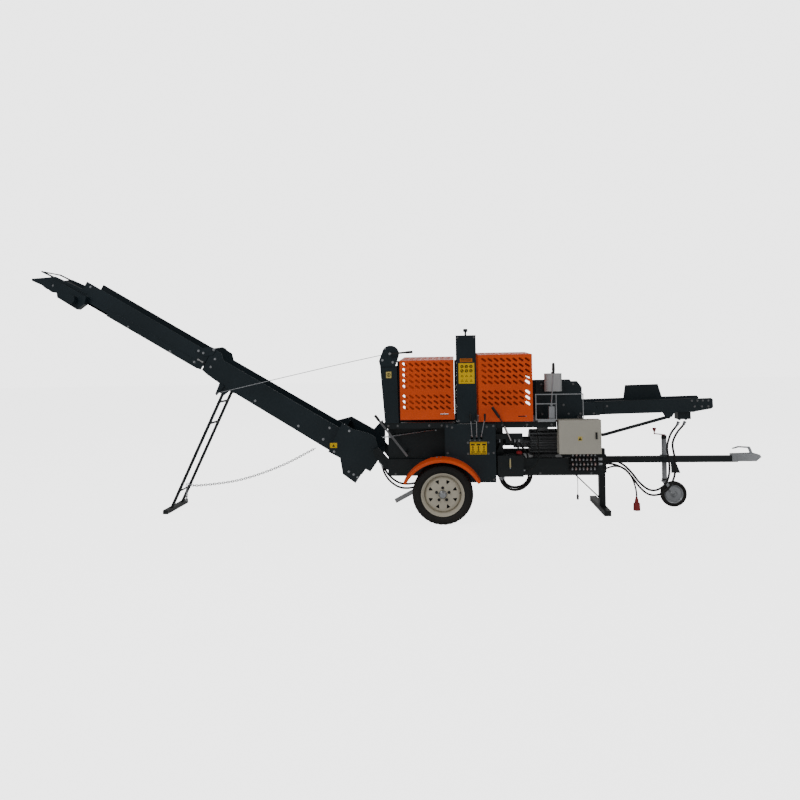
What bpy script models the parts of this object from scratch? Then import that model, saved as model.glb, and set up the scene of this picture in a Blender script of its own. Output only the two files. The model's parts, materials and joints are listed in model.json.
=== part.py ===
"""Towable firewood processor with a chain saw, a hydraulic splitter, an infeed and a long
discharge conveyor. Metres, +Z up. +X points to the towing eye, -Y is the operator's side.
The origin is on the ground under the middle of the whole machine."""

import bpy
import bmesh
from math import atan2, cos, hypot, pi, radians, sin
from mathutils import Vector

# Driving dimensions, in metres and degrees
GAP = 0.0003
SHEET = 0.006
FRAME_REAR, FRAME_FRONT = 0.03, 2.04
RAIL_OUT, RAIL_IN = 0.355, 0.305
RAIL_LOW, RAIL_TOP = 0.385, 0.545
DECK_TOP = 0.900
DECK_OUT, DECK_IN = 0.450, 0.400
DECK_FRONT = 1.885
RAILS_END = 1.605
WHEEL_X, WHEEL_Y, WHEEL_RADIUS, TYRE_WIDTH = 0.55, 0.635, 0.275, 0.17
RIM_RADIUS = 0.185
FENDER_X, FENDER_Z, FENDER_RADIUS = 0.545, 0.208, 0.392
FENDER_IN, FENDER_OUT = 0.56, 0.76
DRAWBAR_HALF, DRAWBAR_Z, DRAWBAR_END = 0.03, 0.478, 3.385
COUPLING_START = 3.33
COUPLING_END = 3.6025
JOCKEY_X, JOCKEY_Y = 2.717, 0.0585
JOCKEY_WHEEL_X, JOCKEY_RADIUS = 2.80, 0.126
LEG_X, LEG_Y, LEG_HALF = 2.078, -0.10, 0.03
SAW_X, SAW_Y, SAW_Z = 0.7825, -0.345, 0.855
SAW_REACH = 0.60
TOWER_LEFT, TOWER_RIGHT, TOWER_TOP = 0.69, 0.875, 1.71
TOWER_FACE, TOWER_BACK = -0.50, -0.30
GUARD_FACE, GUARD_BACK = -0.48, 0.20
COVER_LEFT, COVER_RIGHT = 0.575, 1.043
COVER_FACE = -0.50
WINCH_X, WINCH_Y, WINCH_Z = 0.077, -0.43, 1.550
CONVEYOR_ANGLE = radians(30.5)
CONVEYOR_X, CONVEYOR_Z = -0.088, 0.609
CONVEYOR_HALF = 0.17
HOPPER_HALF = 0.25
FOLD_S, FOLD_N = 1.93, 0.03
HEAD_S, HEAD_N, HEAD_RADIUS = 3.70, -0.212, 0.070
CONVEYOR_LEG_S, CONVEYOR_LEG_N = 1.63, -0.285
TIP_N = -0.258
TIP_S = (COUPLING_END + CONVEYOR_X + sin(CONVEYOR_ANGLE) * TIP_N) / cos(CONVEYOR_ANGLE)
INFEED_X, INFEED_Z = 2.03, 1.005
INFEED_HALF = 0.20
INFEED_SLOPE = radians(1.2)
STRUT_TOP = (2.693, 0.905)
PLUG_X, PLUG_Y = 2.400, -0.12
BOX = (1.62, 2.00, -0.50, -0.3585, 0.603, 0.913)

# Colour, metallic, roughness
TONES = {
    "black paint": ((0.018, 0.026, 0.030), 0.0, 0.42),
    "slate paint": ((0.030, 0.045, 0.055), 0.0, 0.40),
    "orange paint": ((0.62, 0.095, 0.018), 0.0, 0.38),
    "cream paint": ((0.62, 0.59, 0.50), 0.0, 0.40),
    "beige paint": ((0.42, 0.41, 0.36), 0.0, 0.45),
    "zinc": ((0.55, 0.56, 0.57), 0.9, 0.38),
    "bright steel": ((0.62, 0.63, 0.64), 1.0, 0.25),
    "cast iron": ((0.10, 0.11, 0.12), 0.6, 0.55),
    "rubber": ((0.012, 0.012, 0.013), 0.0, 0.80),
    "belt": ((0.030, 0.032, 0.034), 0.0, 0.75),
    "red plastic": ((0.30, 0.015, 0.020), 0.0, 0.40),
    "black plastic": ((0.015, 0.015, 0.016), 0.0, 0.45),
    "grey plastic": ((0.38, 0.38, 0.39), 0.0, 0.40),
}

for old in list(bpy.data.objects):
    bpy.data.objects.remove(old, do_unlink=True)


# ---------------------------------------------------------------- solids
# A solid is a pair: its corner points and its faces.

def prism(outline, low, high, axis="Y"):
    """Straight solid over an outline. Outline pairs are (x, z), (y, z) or (x, y)."""
    place = {"Y": lambda a, b, t: (a, t, b), "X": lambda a, b, t: (t, a, b), "Z": lambda a, b,
             t: (a, b, t)}[axis]
    count = len(outline)
    points = [place(a, b, t) for t in (low, high) for a, b in outline]
    faces = [list(range(count)), list(range(count, 2 * count))]
    faces += [[i, (i + 1) % count, count + (i + 1) % count, count + i] for i in range(count)]
    return points, faces


def block(x0, x1, y0, y1, z0, z1):
    return prism([(x0, z0), (x1, z0), (x1, z1), (x0, z1)], y0, y1)


def circle(x, z, radius, sides=24, start=0.0, sweep=2 * pi):
    """Points round a circle, or along an arc when sweep is less than a full turn."""
    full = abs(sweep) > 2 * pi - 1e-6
    steps = sides if full else sides + 1
    return [(x + radius * cos(start + sweep * i / sides), z + radius * sin(start + sweep * i / sides))
            for i in range(steps)]


def disc(x, z, radius, low, high, axis="Y", sides=20):
    return prism(circle(x, z, radius, sides), low, high, axis)


def capsule(a, b, radius, sides=8):
    """Outline of a bar with round ends between two points."""
    turn = atan2(b[1] - a[1], b[0] - a[0])
    return (circle(b[0], b[1], radius, sides, turn - pi / 2, pi)
            + circle(a[0], a[1], radius, sides, turn + pi / 2, pi))


def strip(a, b, half, low, high, axis="Y"):
    """Flat bar of a given half height along the line from a to b."""
    length = hypot(b[0] - a[0], b[1] - a[1])
    u, v = (b[0] - a[0]) / length * half, (b[1] - a[1]) / length * half
    return prism([(a[0] - v, a[1] + u), (b[0] - v, b[1] + u), (b[0] + v, b[1] - u), (a[0] + v, a[1] - u)],
                 low, high, axis)


def turned(profile, x, y, z, axis="Y", sides=32):
    """Solid of revolution. Profile pairs are (radius, distance along the axis)."""
    place = {"Y": lambda u, v, t: (x + u, y + t, z + v), "X": lambda u, v, t: (x + t, y + u, z + v),
             "Z": lambda u, v, t: (x + u, y + v, z + t)}[axis]
    points, rings = [], []
    for radius, along in profile:
        if radius < 1e-6:
            rings.append([len(points)])
            points.append(place(0.0, 0.0, along))
            continue
        rings.append(list(range(len(points), len(points) + sides)))
        points += [place(radius * cos(2 * pi * i / sides), radius * sin(2 * pi * i / sides), along)
                   for i in range(sides)]
    pairs = list(zip(rings, rings[1:]))
    if len(rings[0]) > 1:
        pairs.append((rings[-1], rings[0]))
    faces = []
    for a, b in pairs:
        for i in range(sides):
            j = (i + 1) % sides
            corners = list(dict.fromkeys([a[i % len(a)], a[j % len(a)], b[j % len(b)], b[i % len(b)]]))
            if len(corners) > 2:
                faces.append(corners)
    return points, faces


def rod(route, radius, sides=10):
    """Round bar bent along a route of points, with flat ends."""
    route = [Vector(p) for p in route]
    points, faces = [], []
    side = None
    for i, spot in enumerate(route):
        ahead = (route[min(i + 1, len(route) - 1)] - route[max(i - 1, 0)]).normalized()
        if side is None:
            side = ahead.orthogonal().normalized()
        side = (side - ahead * side.dot(ahead)).normalized()
        other = ahead.cross(side)
        for k in range(sides):
            angle = 2 * pi * k / sides
            points.append(tuple(spot + radius * (cos(angle) * side + sin(angle) * other)))
    for i in range(len(route) - 1):
        for k in range(sides):
            n = (k + 1) % sides
            faces.append([i * sides + k, i * sides + n, (i + 1) * sides + n, (i + 1) * sides + k])
    faces.append(list(range(sides)))
    faces.append(list(range((len(route) - 1) * sides, len(route) * sides)))
    return points, faces


def arched(section, x, z, start, sweep, steps):
    """Section of (radius, y) pairs carried along an arc about a line parallel to Y."""
    points, count = [], len(section)
    for i in range(steps + 1):
        angle = start + sweep * i / steps
        points += [(x + r * cos(angle), y, z + r * sin(angle)) for r, y in section]
    faces = [[i * count + k, i * count + (k + 1) % count, (i + 1) * count + (k + 1) % count,
              (i + 1) * count + k]
             for i in range(steps) for k in range(count)]
    return points, faces + [list(range(count)), list(range(steps * count, (steps + 1) * count))]


def both_sides(solids):
    """The solids and their mirror images across the middle plane."""
    return solids + [([(x, -y, z) for x, y, z in points], faces) for points, faces in solids]


# ---------------------------------------------------------------- objects

def paint(name, tone):
    colour, metallic, roughness = TONES[tone]
    material = bpy.data.materials.new(name + " " + tone)
    material.use_nodes = True
    shader = material.node_tree.nodes["Principled BSDF"]
    shader.inputs["Base Color"].default_value = (*colour, 1.0)
    shader.inputs["Metallic"].default_value = metallic
    shader.inputs["Roughness"].default_value = roughness
    return material


def mesh_object(name, solid, shift=(0, 0, 0)):
    points, faces = solid
    mesh = bpy.data.meshes.new(name)
    mesh.from_pydata([Vector(p) - Vector(shift) for p in points], [], faces)
    work = bmesh.new()
    work.from_mesh(mesh)
    bmesh.ops.recalc_face_normals(work, faces=work.faces)
    work.to_mesh(mesh)
    work.free()
    thing = bpy.data.objects.new(name, mesh)
    bpy.context.collection.objects.link(thing)
    return thing


def node(name, tone, solids, cuts=(), pivot=(0, 0, 0), at=None, turn=0.0):
    """One closed body. World shapes take a pivot, shapes in their own axes take at and turn."""
    shift = pivot if at is None else (0, 0, 0)
    thing = mesh_object(name, solids[0], shift)
    tools = []
    for operation, others in (("UNION", solids[1:]), ("DIFFERENCE", cuts)):
        for other in others:
            tool = mesh_object("tool", other, shift)
            step = thing.modifiers.new("step", "BOOLEAN")
            step.operation = operation
            step.solver = "EXACT"
            step.object = tool
            tools.append(tool)
    bpy.context.view_layer.update()
    shape = bpy.data.meshes.new_from_object(thing.evaluated_get(bpy.context.evaluated_depsgraph_get()))
    thing.modifiers.clear()
    thing.data = shape
    for tool in tools:
        bpy.data.objects.remove(tool, do_unlink=True)
    shape.materials.clear()
    shape.materials.append(paint(name, tone))
    shape.shade_smooth()
    shape.set_sharp_from_angle(angle=radians(32))
    thing.location = pivot if at is None else at
    thing.rotation_euler = (0.0, turn, 0.0)
    return thing


def smooth_route(stops, step):
    """Even points along a smooth curve through the stops."""
    stops = [Vector(p) for p in stops]
    ends = [2 * stops[0] - stops[1]] + stops + [2 * stops[-1] - stops[-2]]
    fine = []
    for a, b, c, d in zip(ends, ends[1:], ends[2:], ends[3:]):
        for i in range(24):
            t = i / 24
            fine.append(0.5 * (2 * b + (c - a) * t + (2 * a - 5 * b + 4 * c - d) * t * t
                               + (3 * b - a - 3 * c + d) * t ** 3))
    fine.append(stops[-1])
    lengths = [0.0]
    for a, b in zip(fine, fine[1:]):
        lengths.append(lengths[-1] + (b - a).length)
    count = max(3, round(lengths[-1] / step))
    even, k = [], 0
    for i in range(count + 1):
        want = lengths[-1] * i / count
        while k < len(fine) - 2 and lengths[k + 1] < want:
            k += 1
        share = (want - lengths[k]) / max(lengths[k + 1] - lengths[k], 1e-9)
        even.append(fine[k].lerp(fine[k + 1], min(share, 1.0)))
    return even


def cord(name, tone, stops, radius, step, roundness=2):
    """Cable or hose along a smooth route, as a bevelled curve with filled caps."""
    curve = bpy.data.curves.new(name, "CURVE")
    curve.dimensions = "3D"
    route = smooth_route(stops, step)
    spline = curve.splines.new("POLY")
    spline.points.add(len(route) - 1)
    for point, spot in zip(spline.points, route):
        point.co = (*spot, 1.0)
    curve.bevel_depth = radius
    curve.bevel_resolution = roundness
    curve.use_fill_caps = True
    curve.render_resolution_u = 0
    curve.materials.append(paint(name, tone))
    thing = bpy.data.objects.new(name, curve)
    bpy.context.collection.objects.link(thing)
    return thing


def rows(first, last, count):
    return [first + (last - first) * i / (count - 1) for i in range(count)]


# ---------------------------------------------------------------- chassis

def main_frame():
    channel = [(RAIL_OUT, RAIL_LOW), (RAIL_OUT, RAIL_TOP), (RAIL_IN, RAIL_TOP), (RAIL_IN, RAIL_TOP - SHEET),
               (RAIL_OUT - SHEET, RAIL_TOP - SHEET), (RAIL_OUT - SHEET, RAIL_LOW + SHEET),
               (RAIL_IN, RAIL_LOW + SHEET), (RAIL_IN, RAIL_LOW)]
    rails = both_sides([prism(channel, FRAME_REAR, FRAME_FRONT, "X")])
    crossbars = [block(x, x + 0.05, -0.352, 0.352, RAIL_LOW + 0.002, 0.50)
                 for x in (FRAME_REAR + 0.01, 1.42, 1.66, FRAME_FRONT - 0.055)]
    axle = [block(WHEEL_X - 0.03, WHEEL_X + 0.03, -0.50, 0.50, 0.245, 0.305)]
    hangers = both_sides([block(WHEEL_X - 0.05, WHEEL_X + 0.05, 0.315, 0.345, 0.29, RAIL_LOW + 0.01)])
    spindles = both_sides([disc(WHEEL_X, WHEEL_RADIUS, 0.018, 0.49, 0.675, sides=16)])
    flanges = both_sides([disc(WHEEL_X, WHEEL_RADIUS, 0.055, 0.495, 0.515, sides=16)])
    drawbar = [block(FRAME_FRONT - 0.06, DRAWBAR_END, -DRAWBAR_HALF, DRAWBAR_HALF,
                     DRAWBAR_Z - DRAWBAR_HALF, DRAWBAR_Z + DRAWBAR_HALF)]
    gusset = [prism([(2.755, 0.46), (2.80, 0.46), (2.845, 0.345), (2.76, 0.345)], -0.025, -0.015)]
    clamp = [block(JOCKEY_X - 0.032, JOCKEY_X + 0.032, 0.025, JOCKEY_Y + 0.032, 0.445, 0.511)]
    sleeve = [block(LEG_X - 0.058, LEG_X + 0.039, LEG_Y - 0.039, LEG_Y + 0.039, 0.37, RAIL_TOP)]
    strut_foot = [block(2.000, 2.034, -0.19, -0.15, 0.48, 0.72)]
    prop_ear = [block(0.43, 0.48, -0.3495, -0.3415, 0.32, 0.40),
                disc(0.455, 0.335, 0.008, -0.345, -0.297, sides=12)]
    conveyor_arms = both_sides([
        prism([(0.10, 0.41), (0.10, 0.53), (0.028, 0.535), (-0.07, 0.645), (-0.115, 0.635), (-0.118, 0.59),
               (0.0, 0.44)], 0.262, 0.299)])
    trunnions = both_sides([disc(CONVEYOR_X, CONVEYOR_Z, 0.012, 0.2405, 0.27, sides=16)])
    hole_for_leg = block(LEG_X - LEG_HALF - 0.001, LEG_X + LEG_HALF + 0.001,
                         LEG_Y - LEG_HALF - 0.001, LEG_Y + LEG_HALF + 0.001, 0.3, 0.6)
    hole_for_jockey = disc(JOCKEY_X, JOCKEY_Y, 0.0244, 0.4, 0.6, "Z", 16)
    motor_bed = [block(1.36, 1.72, -0.352, 0.352, 0.497, 0.507)]
    bore = block(2.06, 3.40, 0.006 - DRAWBAR_HALF, DRAWBAR_HALF - 0.006,
                 DRAWBAR_Z - DRAWBAR_HALF + 0.006, DRAWBAR_Z + DRAWBAR_HALF - 0.006)
    lead_gland = [disc(-0.25, 0.425, 0.013, 2.02, 2.0445, "X", 14)]
    node("main_frame", "black paint",
         rails + crossbars + axle + hangers + flanges + spindles + drawbar + gusset + clamp + sleeve
         + strut_foot + prop_ear + conveyor_arms + trunnions + motor_bed + lead_gland,
         [hole_for_leg, hole_for_jockey, bore])


def upper_frame():
    """Top rails, their legs, the splitting trough and the log bed, welded in one."""
    rails = both_sides([block(0.0, RAILS_END, DECK_IN, DECK_OUT, 0.845, DECK_TOP)])
    legs = both_sides([block(x, x + 0.06, 0.31, RAIL_OUT, RAIL_TOP + GAP, 0.87)
                       for x in (1.06, DECK_FRONT - 0.07)])
    leg_bars = both_sides([block(0.03, 0.56, 0.31, 0.41, 0.86, 0.885)])
    walls = both_sides([block(0.03, 0.66, 0.30, 0.316, RAIL_TOP + GAP, 0.885),
                        block(0.65, 1.07, 0.302, 0.315, RAIL_TOP + GAP, 0.760)])
    floor = [block(0.03, 0.70, -0.305, 0.305, RAIL_TOP + GAP, 0.556)]
    slopes = both_sides([prism([(0.30, 0.552), (0.305, 0.68), (0.20, 0.552)], 0.16, 0.66, "X")])
    back = [block(0.700, 0.712, -0.305, 0.305, RAIL_TOP + GAP, 0.757)]
    bed = [block(0.87, RAILS_END - 0.001, -0.41, 0.41, 0.886, DECK_TOP - 0.0005),
           block(RAILS_END - 0.05, DECK_FRONT, -0.354, 0.354, 0.885, DECK_TOP - 0.001)]
    ribs = [block(x, x + 0.05, -half, half, 0.85, 0.89)
            for x, half in ((1.065, 0.41), (1.45, 0.41), (DECK_FRONT - 0.065, 0.353))]
    pins = [disc(0.05, 0.762, 0.012, -0.3295, -0.31, sides=14),
            disc(0.205, 0.610, 0.010, -0.4625, -0.31, sides=14)]
    stop_bar = [block(0.64, 0.69, -0.05, 0.41, 0.86, 0.895)]
    notch_strip = [block(0.075, 0.485, -0.352, -0.312, 0.846, 0.8585)]
    notch_strip += [prism([(x, 0.848), (x + 0.030, 0.848), (x + 0.022, 0.838), (x + 0.006, 0.838)],
                          -0.352, -0.344)
                    for x in rows(0.10, 0.43, 8)]
    saw_valve = [block(1.050, 1.297, -0.42, -0.36, 0.735, 0.785),
                 block(1.14, 1.21, -0.43, -0.37, 0.70, 0.737),
                 block(1.065, 1.115, -0.40, -0.35, 0.745, 0.775),
                 disc(1.182, 0.725, 0.011, -0.497, -0.425, sides=14)]
    bore = disc(0.0, 0.665, 0.0465, 0.6, 0.8, "X", 24)
    node("upper_frame", "black paint",
         rails + legs + leg_bars + walls + floor + slopes + back + bed + ribs + stop_bar + pins
         + notch_strip + saw_valve, [bore])


def fender(name, side):
    outer, inner, lip = FENDER_RADIUS, FENDER_RADIUS - SHEET, FENDER_RADIUS - 0.028
    section = [(outer, FENDER_IN), (outer, FENDER_OUT), (lip, FENDER_OUT), (lip, FENDER_OUT - SHEET),
               (inner, FENDER_OUT - SHEET), (inner, FENDER_IN)]
    arch = arched([(r, side * y) for r, y in section], FENDER_X, FENDER_Z, radians(28), radians(124), 14)
    low, high = sorted((side * (FENDER_IN + 0.02), side * 0.317))
    tab = sorted((side * (FENDER_IN + 0.003), side * (FENDER_IN + 0.019)))
    bracket = [block(0.44, 0.50, low, high, RAIL_TOP + 2 * GAP, RAIL_TOP + 0.009),
               block(0.441, 0.499, *tab, RAIL_TOP + 0.002, 0.589)]
    node(name, "orange paint", [arch] + bracket)


def wheel(side_name, side):
    """Tyre and steel rim of a road wheel, both turning on the axle spindle."""
    half, spot = TYRE_WIDTH / 2, (WHEEL_X, side * WHEEL_Y, WHEEL_RADIUS)
    tyre = [(RIM_RADIUS + 0.004, -half * 0.80), (0.225, -half), (0.260, -half * 0.92),
            (WHEEL_RADIUS, -half * 0.65), (WHEEL_RADIUS, half * 0.65), (0.260, half * 0.92),
            (0.225, half), (RIM_RADIUS + 0.004, half * 0.80)]
    node("tyre_" + side_name, "rubber", [turned(tyre, *spot, sides=32)], pivot=spot)
    out = side
    barrel = [(RIM_RADIUS + 0.002, half * 0.80), (0.194, half * 0.88), (0.194, half * 0.94),
              (0.176, half * 0.86),
              (0.166, half * 0.30), (0.166, -half * 0.84), (RIM_RADIUS + 0.002, -half * 0.80)]
    disc_part = [(0.170, half * 0.18), (0.150, half * 0.42), (0.045, half * 0.48), (0.045, -half * 0.55),
                 (0.0185, -half * 0.55), (0.0185, half * 0.62), (0.045, half * 0.62), (0.080, half * 0.56),
                 (0.150, half * 0.50), (0.170, half * 0.28)]
    flip = [[(r, out * t) for r, t in profile] for profile in (barrel, disc_part)]
    windows = []
    for k in range(8):
        turn = 2 * pi * (k + 0.5) / 8
        corners = [(0.148, -0.10), (0.148, 0.10), (0.108, 0.0)]
        outline = [(spot[0] + r * cos(turn + a), spot[2] + r * sin(turn + a)) for r, a in corners]
        windows.append(prism(outline, *sorted((spot[1], spot[1] + out * 0.07))))
    node("rim_" + side_name, "cream paint", [turned(flip[0], *spot, sides=20),
                                             turned(flip[1], *spot, sides=20)],
         windows, pivot=spot)


def coupling():
    z = DRAWBAR_Z + 0.012
    half, top, low = 0.034, z + 0.037, z - 0.035
    body = [prism([(COUPLING_START, low), (3.555, low), (3.585, z - 0.01), (COUPLING_END, z + 0.005),
                   (3.59, z + 0.028), (3.54, top + 0.005), (COUPLING_START, top)], -half, half)]
    slot = block(COUPLING_START - 0.01, DRAWBAR_END + GAP, -DRAWBAR_HALF - GAP, DRAWBAR_HALF + GAP,
                 DRAWBAR_Z - DRAWBAR_HALF - GAP, DRAWBAR_Z + DRAWBAR_HALF + GAP)
    cup = disc(3.552, 0.0, 0.0253, 0.40, z + 0.012, "Z", 24)
    hollow = block(DRAWBAR_END + 0.02, 3.50, -half + 0.006, half - 0.006, 0.40, top - 0.006)
    window = block(3.503, 3.552, -0.0105, 0.0105, z + 0.005, 0.6)
    node("coupling_head", "zinc", body, [slot, cup, hollow, window])
    pin = (3.525, 0.0, z + 0.028)
    lever = [prism(capsule((3.525, pin[2]), (3.50, 0.583), 0.011), -0.0095, 0.0095),
             prism([(3.505, 0.578), (3.505, 0.592), (3.40, 0.598), (3.345, 0.580), (3.345, 0.572),
                    (3.40, 0.586)], -0.014, 0.014)]
    node("coupling_lever", "zinc", lever, pivot=pin)


def jockey():
    """Winding nose wheel: fixed tube, sliding stem, swivelling fork, wheel and crank."""
    x, y = JOCKEY_X, JOCKEY_Y
    tube = turned([(0.0210, 0.262), (0.0240, 0.262), (0.0240, 0.702), (0.0110, 0.702), (0.0110, 0.696),
                   (0.0210, 0.696)], x, y, 0.0, "Z", 16)
    node("jockey_tube", "grey plastic", [tube])
    stem = turned([(0.0, 0.255), (0.0205, 0.255), (0.0205, 0.55), (0.0125, 0.55), (0.0125, 0.29),
                   (0.0, 0.29)],
                  x, y, 0.0, "Z", 16)
    node("jockey_stem", "zinc", [stem], pivot=(x, y, 0.255))
    hub_z = JOCKEY_RADIUS
    fork = [disc(x, y, 0.026, 0.243, 0.2547, "Z", 20),
            block(x - 0.022, x + 0.012, y - 0.047, y + 0.047, 0.242, 0.253)]
    fork += [prism([(x - 0.022, 0.253), (x + 0.012, 0.253), (JOCKEY_WHEEL_X + 0.015, hub_z + 0.008),
                    (JOCKEY_WHEEL_X + 0.008, hub_z - 0.015), (JOCKEY_WHEEL_X - 0.010, hub_z - 0.012)],
                    y + a, y + b)
             for a, b in ((-0.047, -0.042), (0.042, 0.047))]
    fork.append(disc(JOCKEY_WHEEL_X, hub_z, 0.008, y - 0.052, y + 0.052, sides=12))
    clear = turned([(0.062, -0.037), (0.130, -0.037), (0.130, 0.037), (0.062, 0.037)], JOCKEY_WHEEL_X,
                   y, hub_z)
    node("jockey_fork", "zinc", fork, [clear], pivot=(x, y, 0.243))
    wheel_shape = turned([(0.0085, -0.036), (0.022, -0.036), (0.030, -0.014), (0.080, -0.014),
                          (0.108, -0.029),
                          (JOCKEY_RADIUS, -0.014), (JOCKEY_RADIUS, 0.014), (0.108, 0.029),
                          (0.080, 0.014), (0.030, 0.014), (0.022, 0.036), (0.0085, 0.036)],
                         JOCKEY_WHEEL_X, y, hub_z, sides=20)
    node("jockey_wheel", "rubber", [wheel_shape], pivot=(JOCKEY_WHEEL_X, y, hub_z))
    crank = [disc(x, y, 0.0105, 0.45, 0.712, "Z", 16), disc(x, y, 0.016, 0.7035, 0.712, "Z", 16),
             strip((x, 0.708), (x - 0.093, 0.719), 0.005, y - 0.007, y + 0.007),
             turned([(0.0, 0.712), (0.006, 0.712), (0.006, 0.738), (0.010, 0.742), (0.021, 0.775),
                     (0.0, 0.778)],
                    x - 0.091, y, 0.0, "Z", 16)]
    node("jockey_crank", "red plastic", crank, pivot=(x, y, 0.702))


def stabiliser():
    x, y, half = LEG_X, LEG_Y, LEG_HALF
    post = block(x - half, x + half, y - half, y + half, 0.03, 0.60)
    foot = block(x - half - 0.002, x + half + 0.002, -0.35, 0.35, 0.0, 0.05)
    braces = [rod([(x - half + 0.004, y + d * 0.2, 0.125), (1.80, y + d, 0.374)], 0.006, 8)
              for d in (-0.05, 0.05)]
    bore = block(x - half + 0.005, x + half - 0.005, y - half + 0.005, y + half - 0.005, 0.060, 0.61)
    node("stabiliser_leg", "black paint", [post, foot] + braces, [bore], pivot=(x, y, 0.0))


def rear_prop():
    pin = (0.455, -0.32, 0.335)
    tube = strip((0.472, 0.3441), (0.092, 0.140), 0.019, -0.3395, -0.3005)
    hollow = strip((0.40, 0.3055), (0.05, 0.1174), 0.016, -0.3365, -0.3035)
    eye = disc(0.455, 0.335, 0.0085, -0.36, -0.29, sides=12)
    node("rear_prop", "grey plastic", [tube], [hollow, eye], pivot=pin)


# ---------------------------------------------------------------- hydraulics and controls

def oil_tank():
    shell = [block(1.058, 1.295, -0.48, -0.358, 0.393, 0.590)]
    neck = [disc(1.262, -0.42, 0.020, 0.58, 0.598, "Z", 16)]
    straps = [block(1.10, 1.13, -0.36, -RAIL_OUT - GAP, 0.42, 0.53),
              block(1.22, 1.25, -0.36, -RAIL_OUT - GAP, 0.42, 0.53)]
    gauge = [prism(capsule((1.173, 0.478), (1.173, 0.563), 0.011, 6), -0.488, -0.478)]
    inside = block(1.062, 1.291, -0.476, -0.362, 0.397, 0.586)
    bore = disc(1.262, -0.42, 0.015, 0.57, 0.62, "Z", 16)
    node("oil_tank", "black paint", shell + neck + straps + gauge, [inside, bore])
    cap = turned([(0.0, 0.590), (0.0145, 0.590), (0.0145, 0.5985), (0.026, 0.5985), (0.027, 0.618),
                  (0.018, 0.625),
                  (0.0, 0.626)], 1.262, -0.42, 0.0, "Z", 20)
    node("tank_cap", "red plastic", [cap], pivot=(1.262, -0.42, 0.598))


def valve_cover():
    outline = [(COVER_FACE, 0.347), (-0.3925, 0.347), (-0.3925, 0.840), (-DECK_OUT - 0.001, 0.840),
               (-DECK_OUT - 0.001, 0.890), (COVER_FACE, 0.890)]
    inner = [(COVER_FACE + 0.005, 0.352), (-0.30, 0.352), (-0.30, 0.835), (-DECK_OUT - 0.006, 0.835),
             (-DECK_OUT - 0.006, 0.885), (COVER_FACE + 0.005, 0.885)]
    slots = [block(x - 0.009, x + 0.009, -0.52, -0.48, 0.745, 0.805) for x in valve_lever_places()]
    node("valve_cover", "black paint", [prism(outline, COVER_LEFT, COVER_RIGHT, "X")],
         [prism(inner, COVER_LEFT + 0.005, COVER_RIGHT - 0.005, "X")] + slots)


def valve_lever_places():
    return rows(0.825, 0.912, 3)


def valve_levers():
    for number, (x, lean) in enumerate(zip(valve_lever_places(), (-0.010, 0.0, 0.031)), 1):
        pin = (x, -0.478, 0.770)
        hub = disc(pin[1], pin[2], 0.0085, x - 0.007, x + 0.007, "X", 10)
        stem = rod([(x, -0.480, 0.770), (x, -0.516, 0.771), (x, -0.524, 0.785),
                    (x + lean, -0.535, 0.935)], 0.0045, 6)
        grip = turned([(0.0, -0.006), (0.008, -0.006), (0.0095, 0.015), (0.0120, 0.048), (0.007, 0.056),
                       (0.0, 0.057)],
                      x + lean * 1.06, -0.5365, 0.930, "Z", 10)
        node(f"valve_lever_{number}", "zinc", [hub, stem, grip], pivot=pin)


def electric_motor():
    """Finned motor with the hydraulic pump flanged to its end."""
    x0, x1, z, radius = 1.40, 1.73, 0.655, 0.128
    shell = []
    fins = 18
    for k in range(fins):
        a = 2 * pi * k / fins
        for r, part in ((radius - 0.012, 0.0), (radius, 0.25), (radius, 0.5), (radius - 0.012, 0.75)):
            b = a + part * 2 * pi / fins
            shell.append((r * cos(b), z + r * sin(b)))
    body = [prism(shell, x0, x1 - 0.06, "X"), disc(0.0, z, radius - 0.002, x1 - 0.065, x1, "X", 20)]
    foot = [block(1.44, 1.64, -0.11, 0.11, 0.5075, 0.545)]
    terminal = [block(1.48, 1.58, -0.05, 0.05, 0.77, 0.815)]
    pump = [disc(0.0, z, 0.055, 1.335, 1.405, "X", 16),
            block(1.245, 1.34, -0.042, 0.042, z - 0.05, z + 0.045),
            disc(1.29, z, 0.014, -0.065, 0.065, "Y", 14)]
    node("electric_motor", "cast iron", body + foot + terminal + pump)


def ram():
    y, z = 0.0, 0.665
    tube = turned([(0.0235, 0.70), (0.0235, 0.715), (0.036, 0.715), (0.036, 1.235), (0.0, 1.235),
                   (0.0, 1.243),
                   (0.045, 1.243), (0.045, 0.70)], 0.0, y, z, "X", 18)
    node("ram_cylinder", "black paint", [tube])
    rod_part = turned([(0.0, 0.640), (0.0225, 0.640), (0.0225, 1.19), (0.0350, 1.19), (0.0350, 1.225),
                       (0.0, 1.225)],
                      0.0, y, z, "X", 18)
    head = [block(0.615, 0.650, -0.125, 0.125, 0.575, 0.765), block(0.60, 0.65, -0.09, 0.09, 0.5565, 0.60)]
    node("ram_pusher", "bright steel", [rod_part] + head, pivot=(0.615, y, z))


def splitting_wedge():
    blade = prism([(0.055, -0.010), (0.13, -0.010), (0.20, 0.0), (0.13, 0.010), (0.055, 0.010)], 0.560,
                  0.785, "Z")
    wing = prism([(0.060, 0.645), (0.13, 0.645), (0.185, 0.653), (0.13, 0.661), (0.060, 0.661)], -0.145,
                 0.145)
    yoke = block(0.060, 0.085, -0.286, 0.286, 0.648, 0.658)
    node("splitting_wedge", "bright steel", [blade, wing, yoke], pivot=(0.06, 0.0, 0.65))


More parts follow.
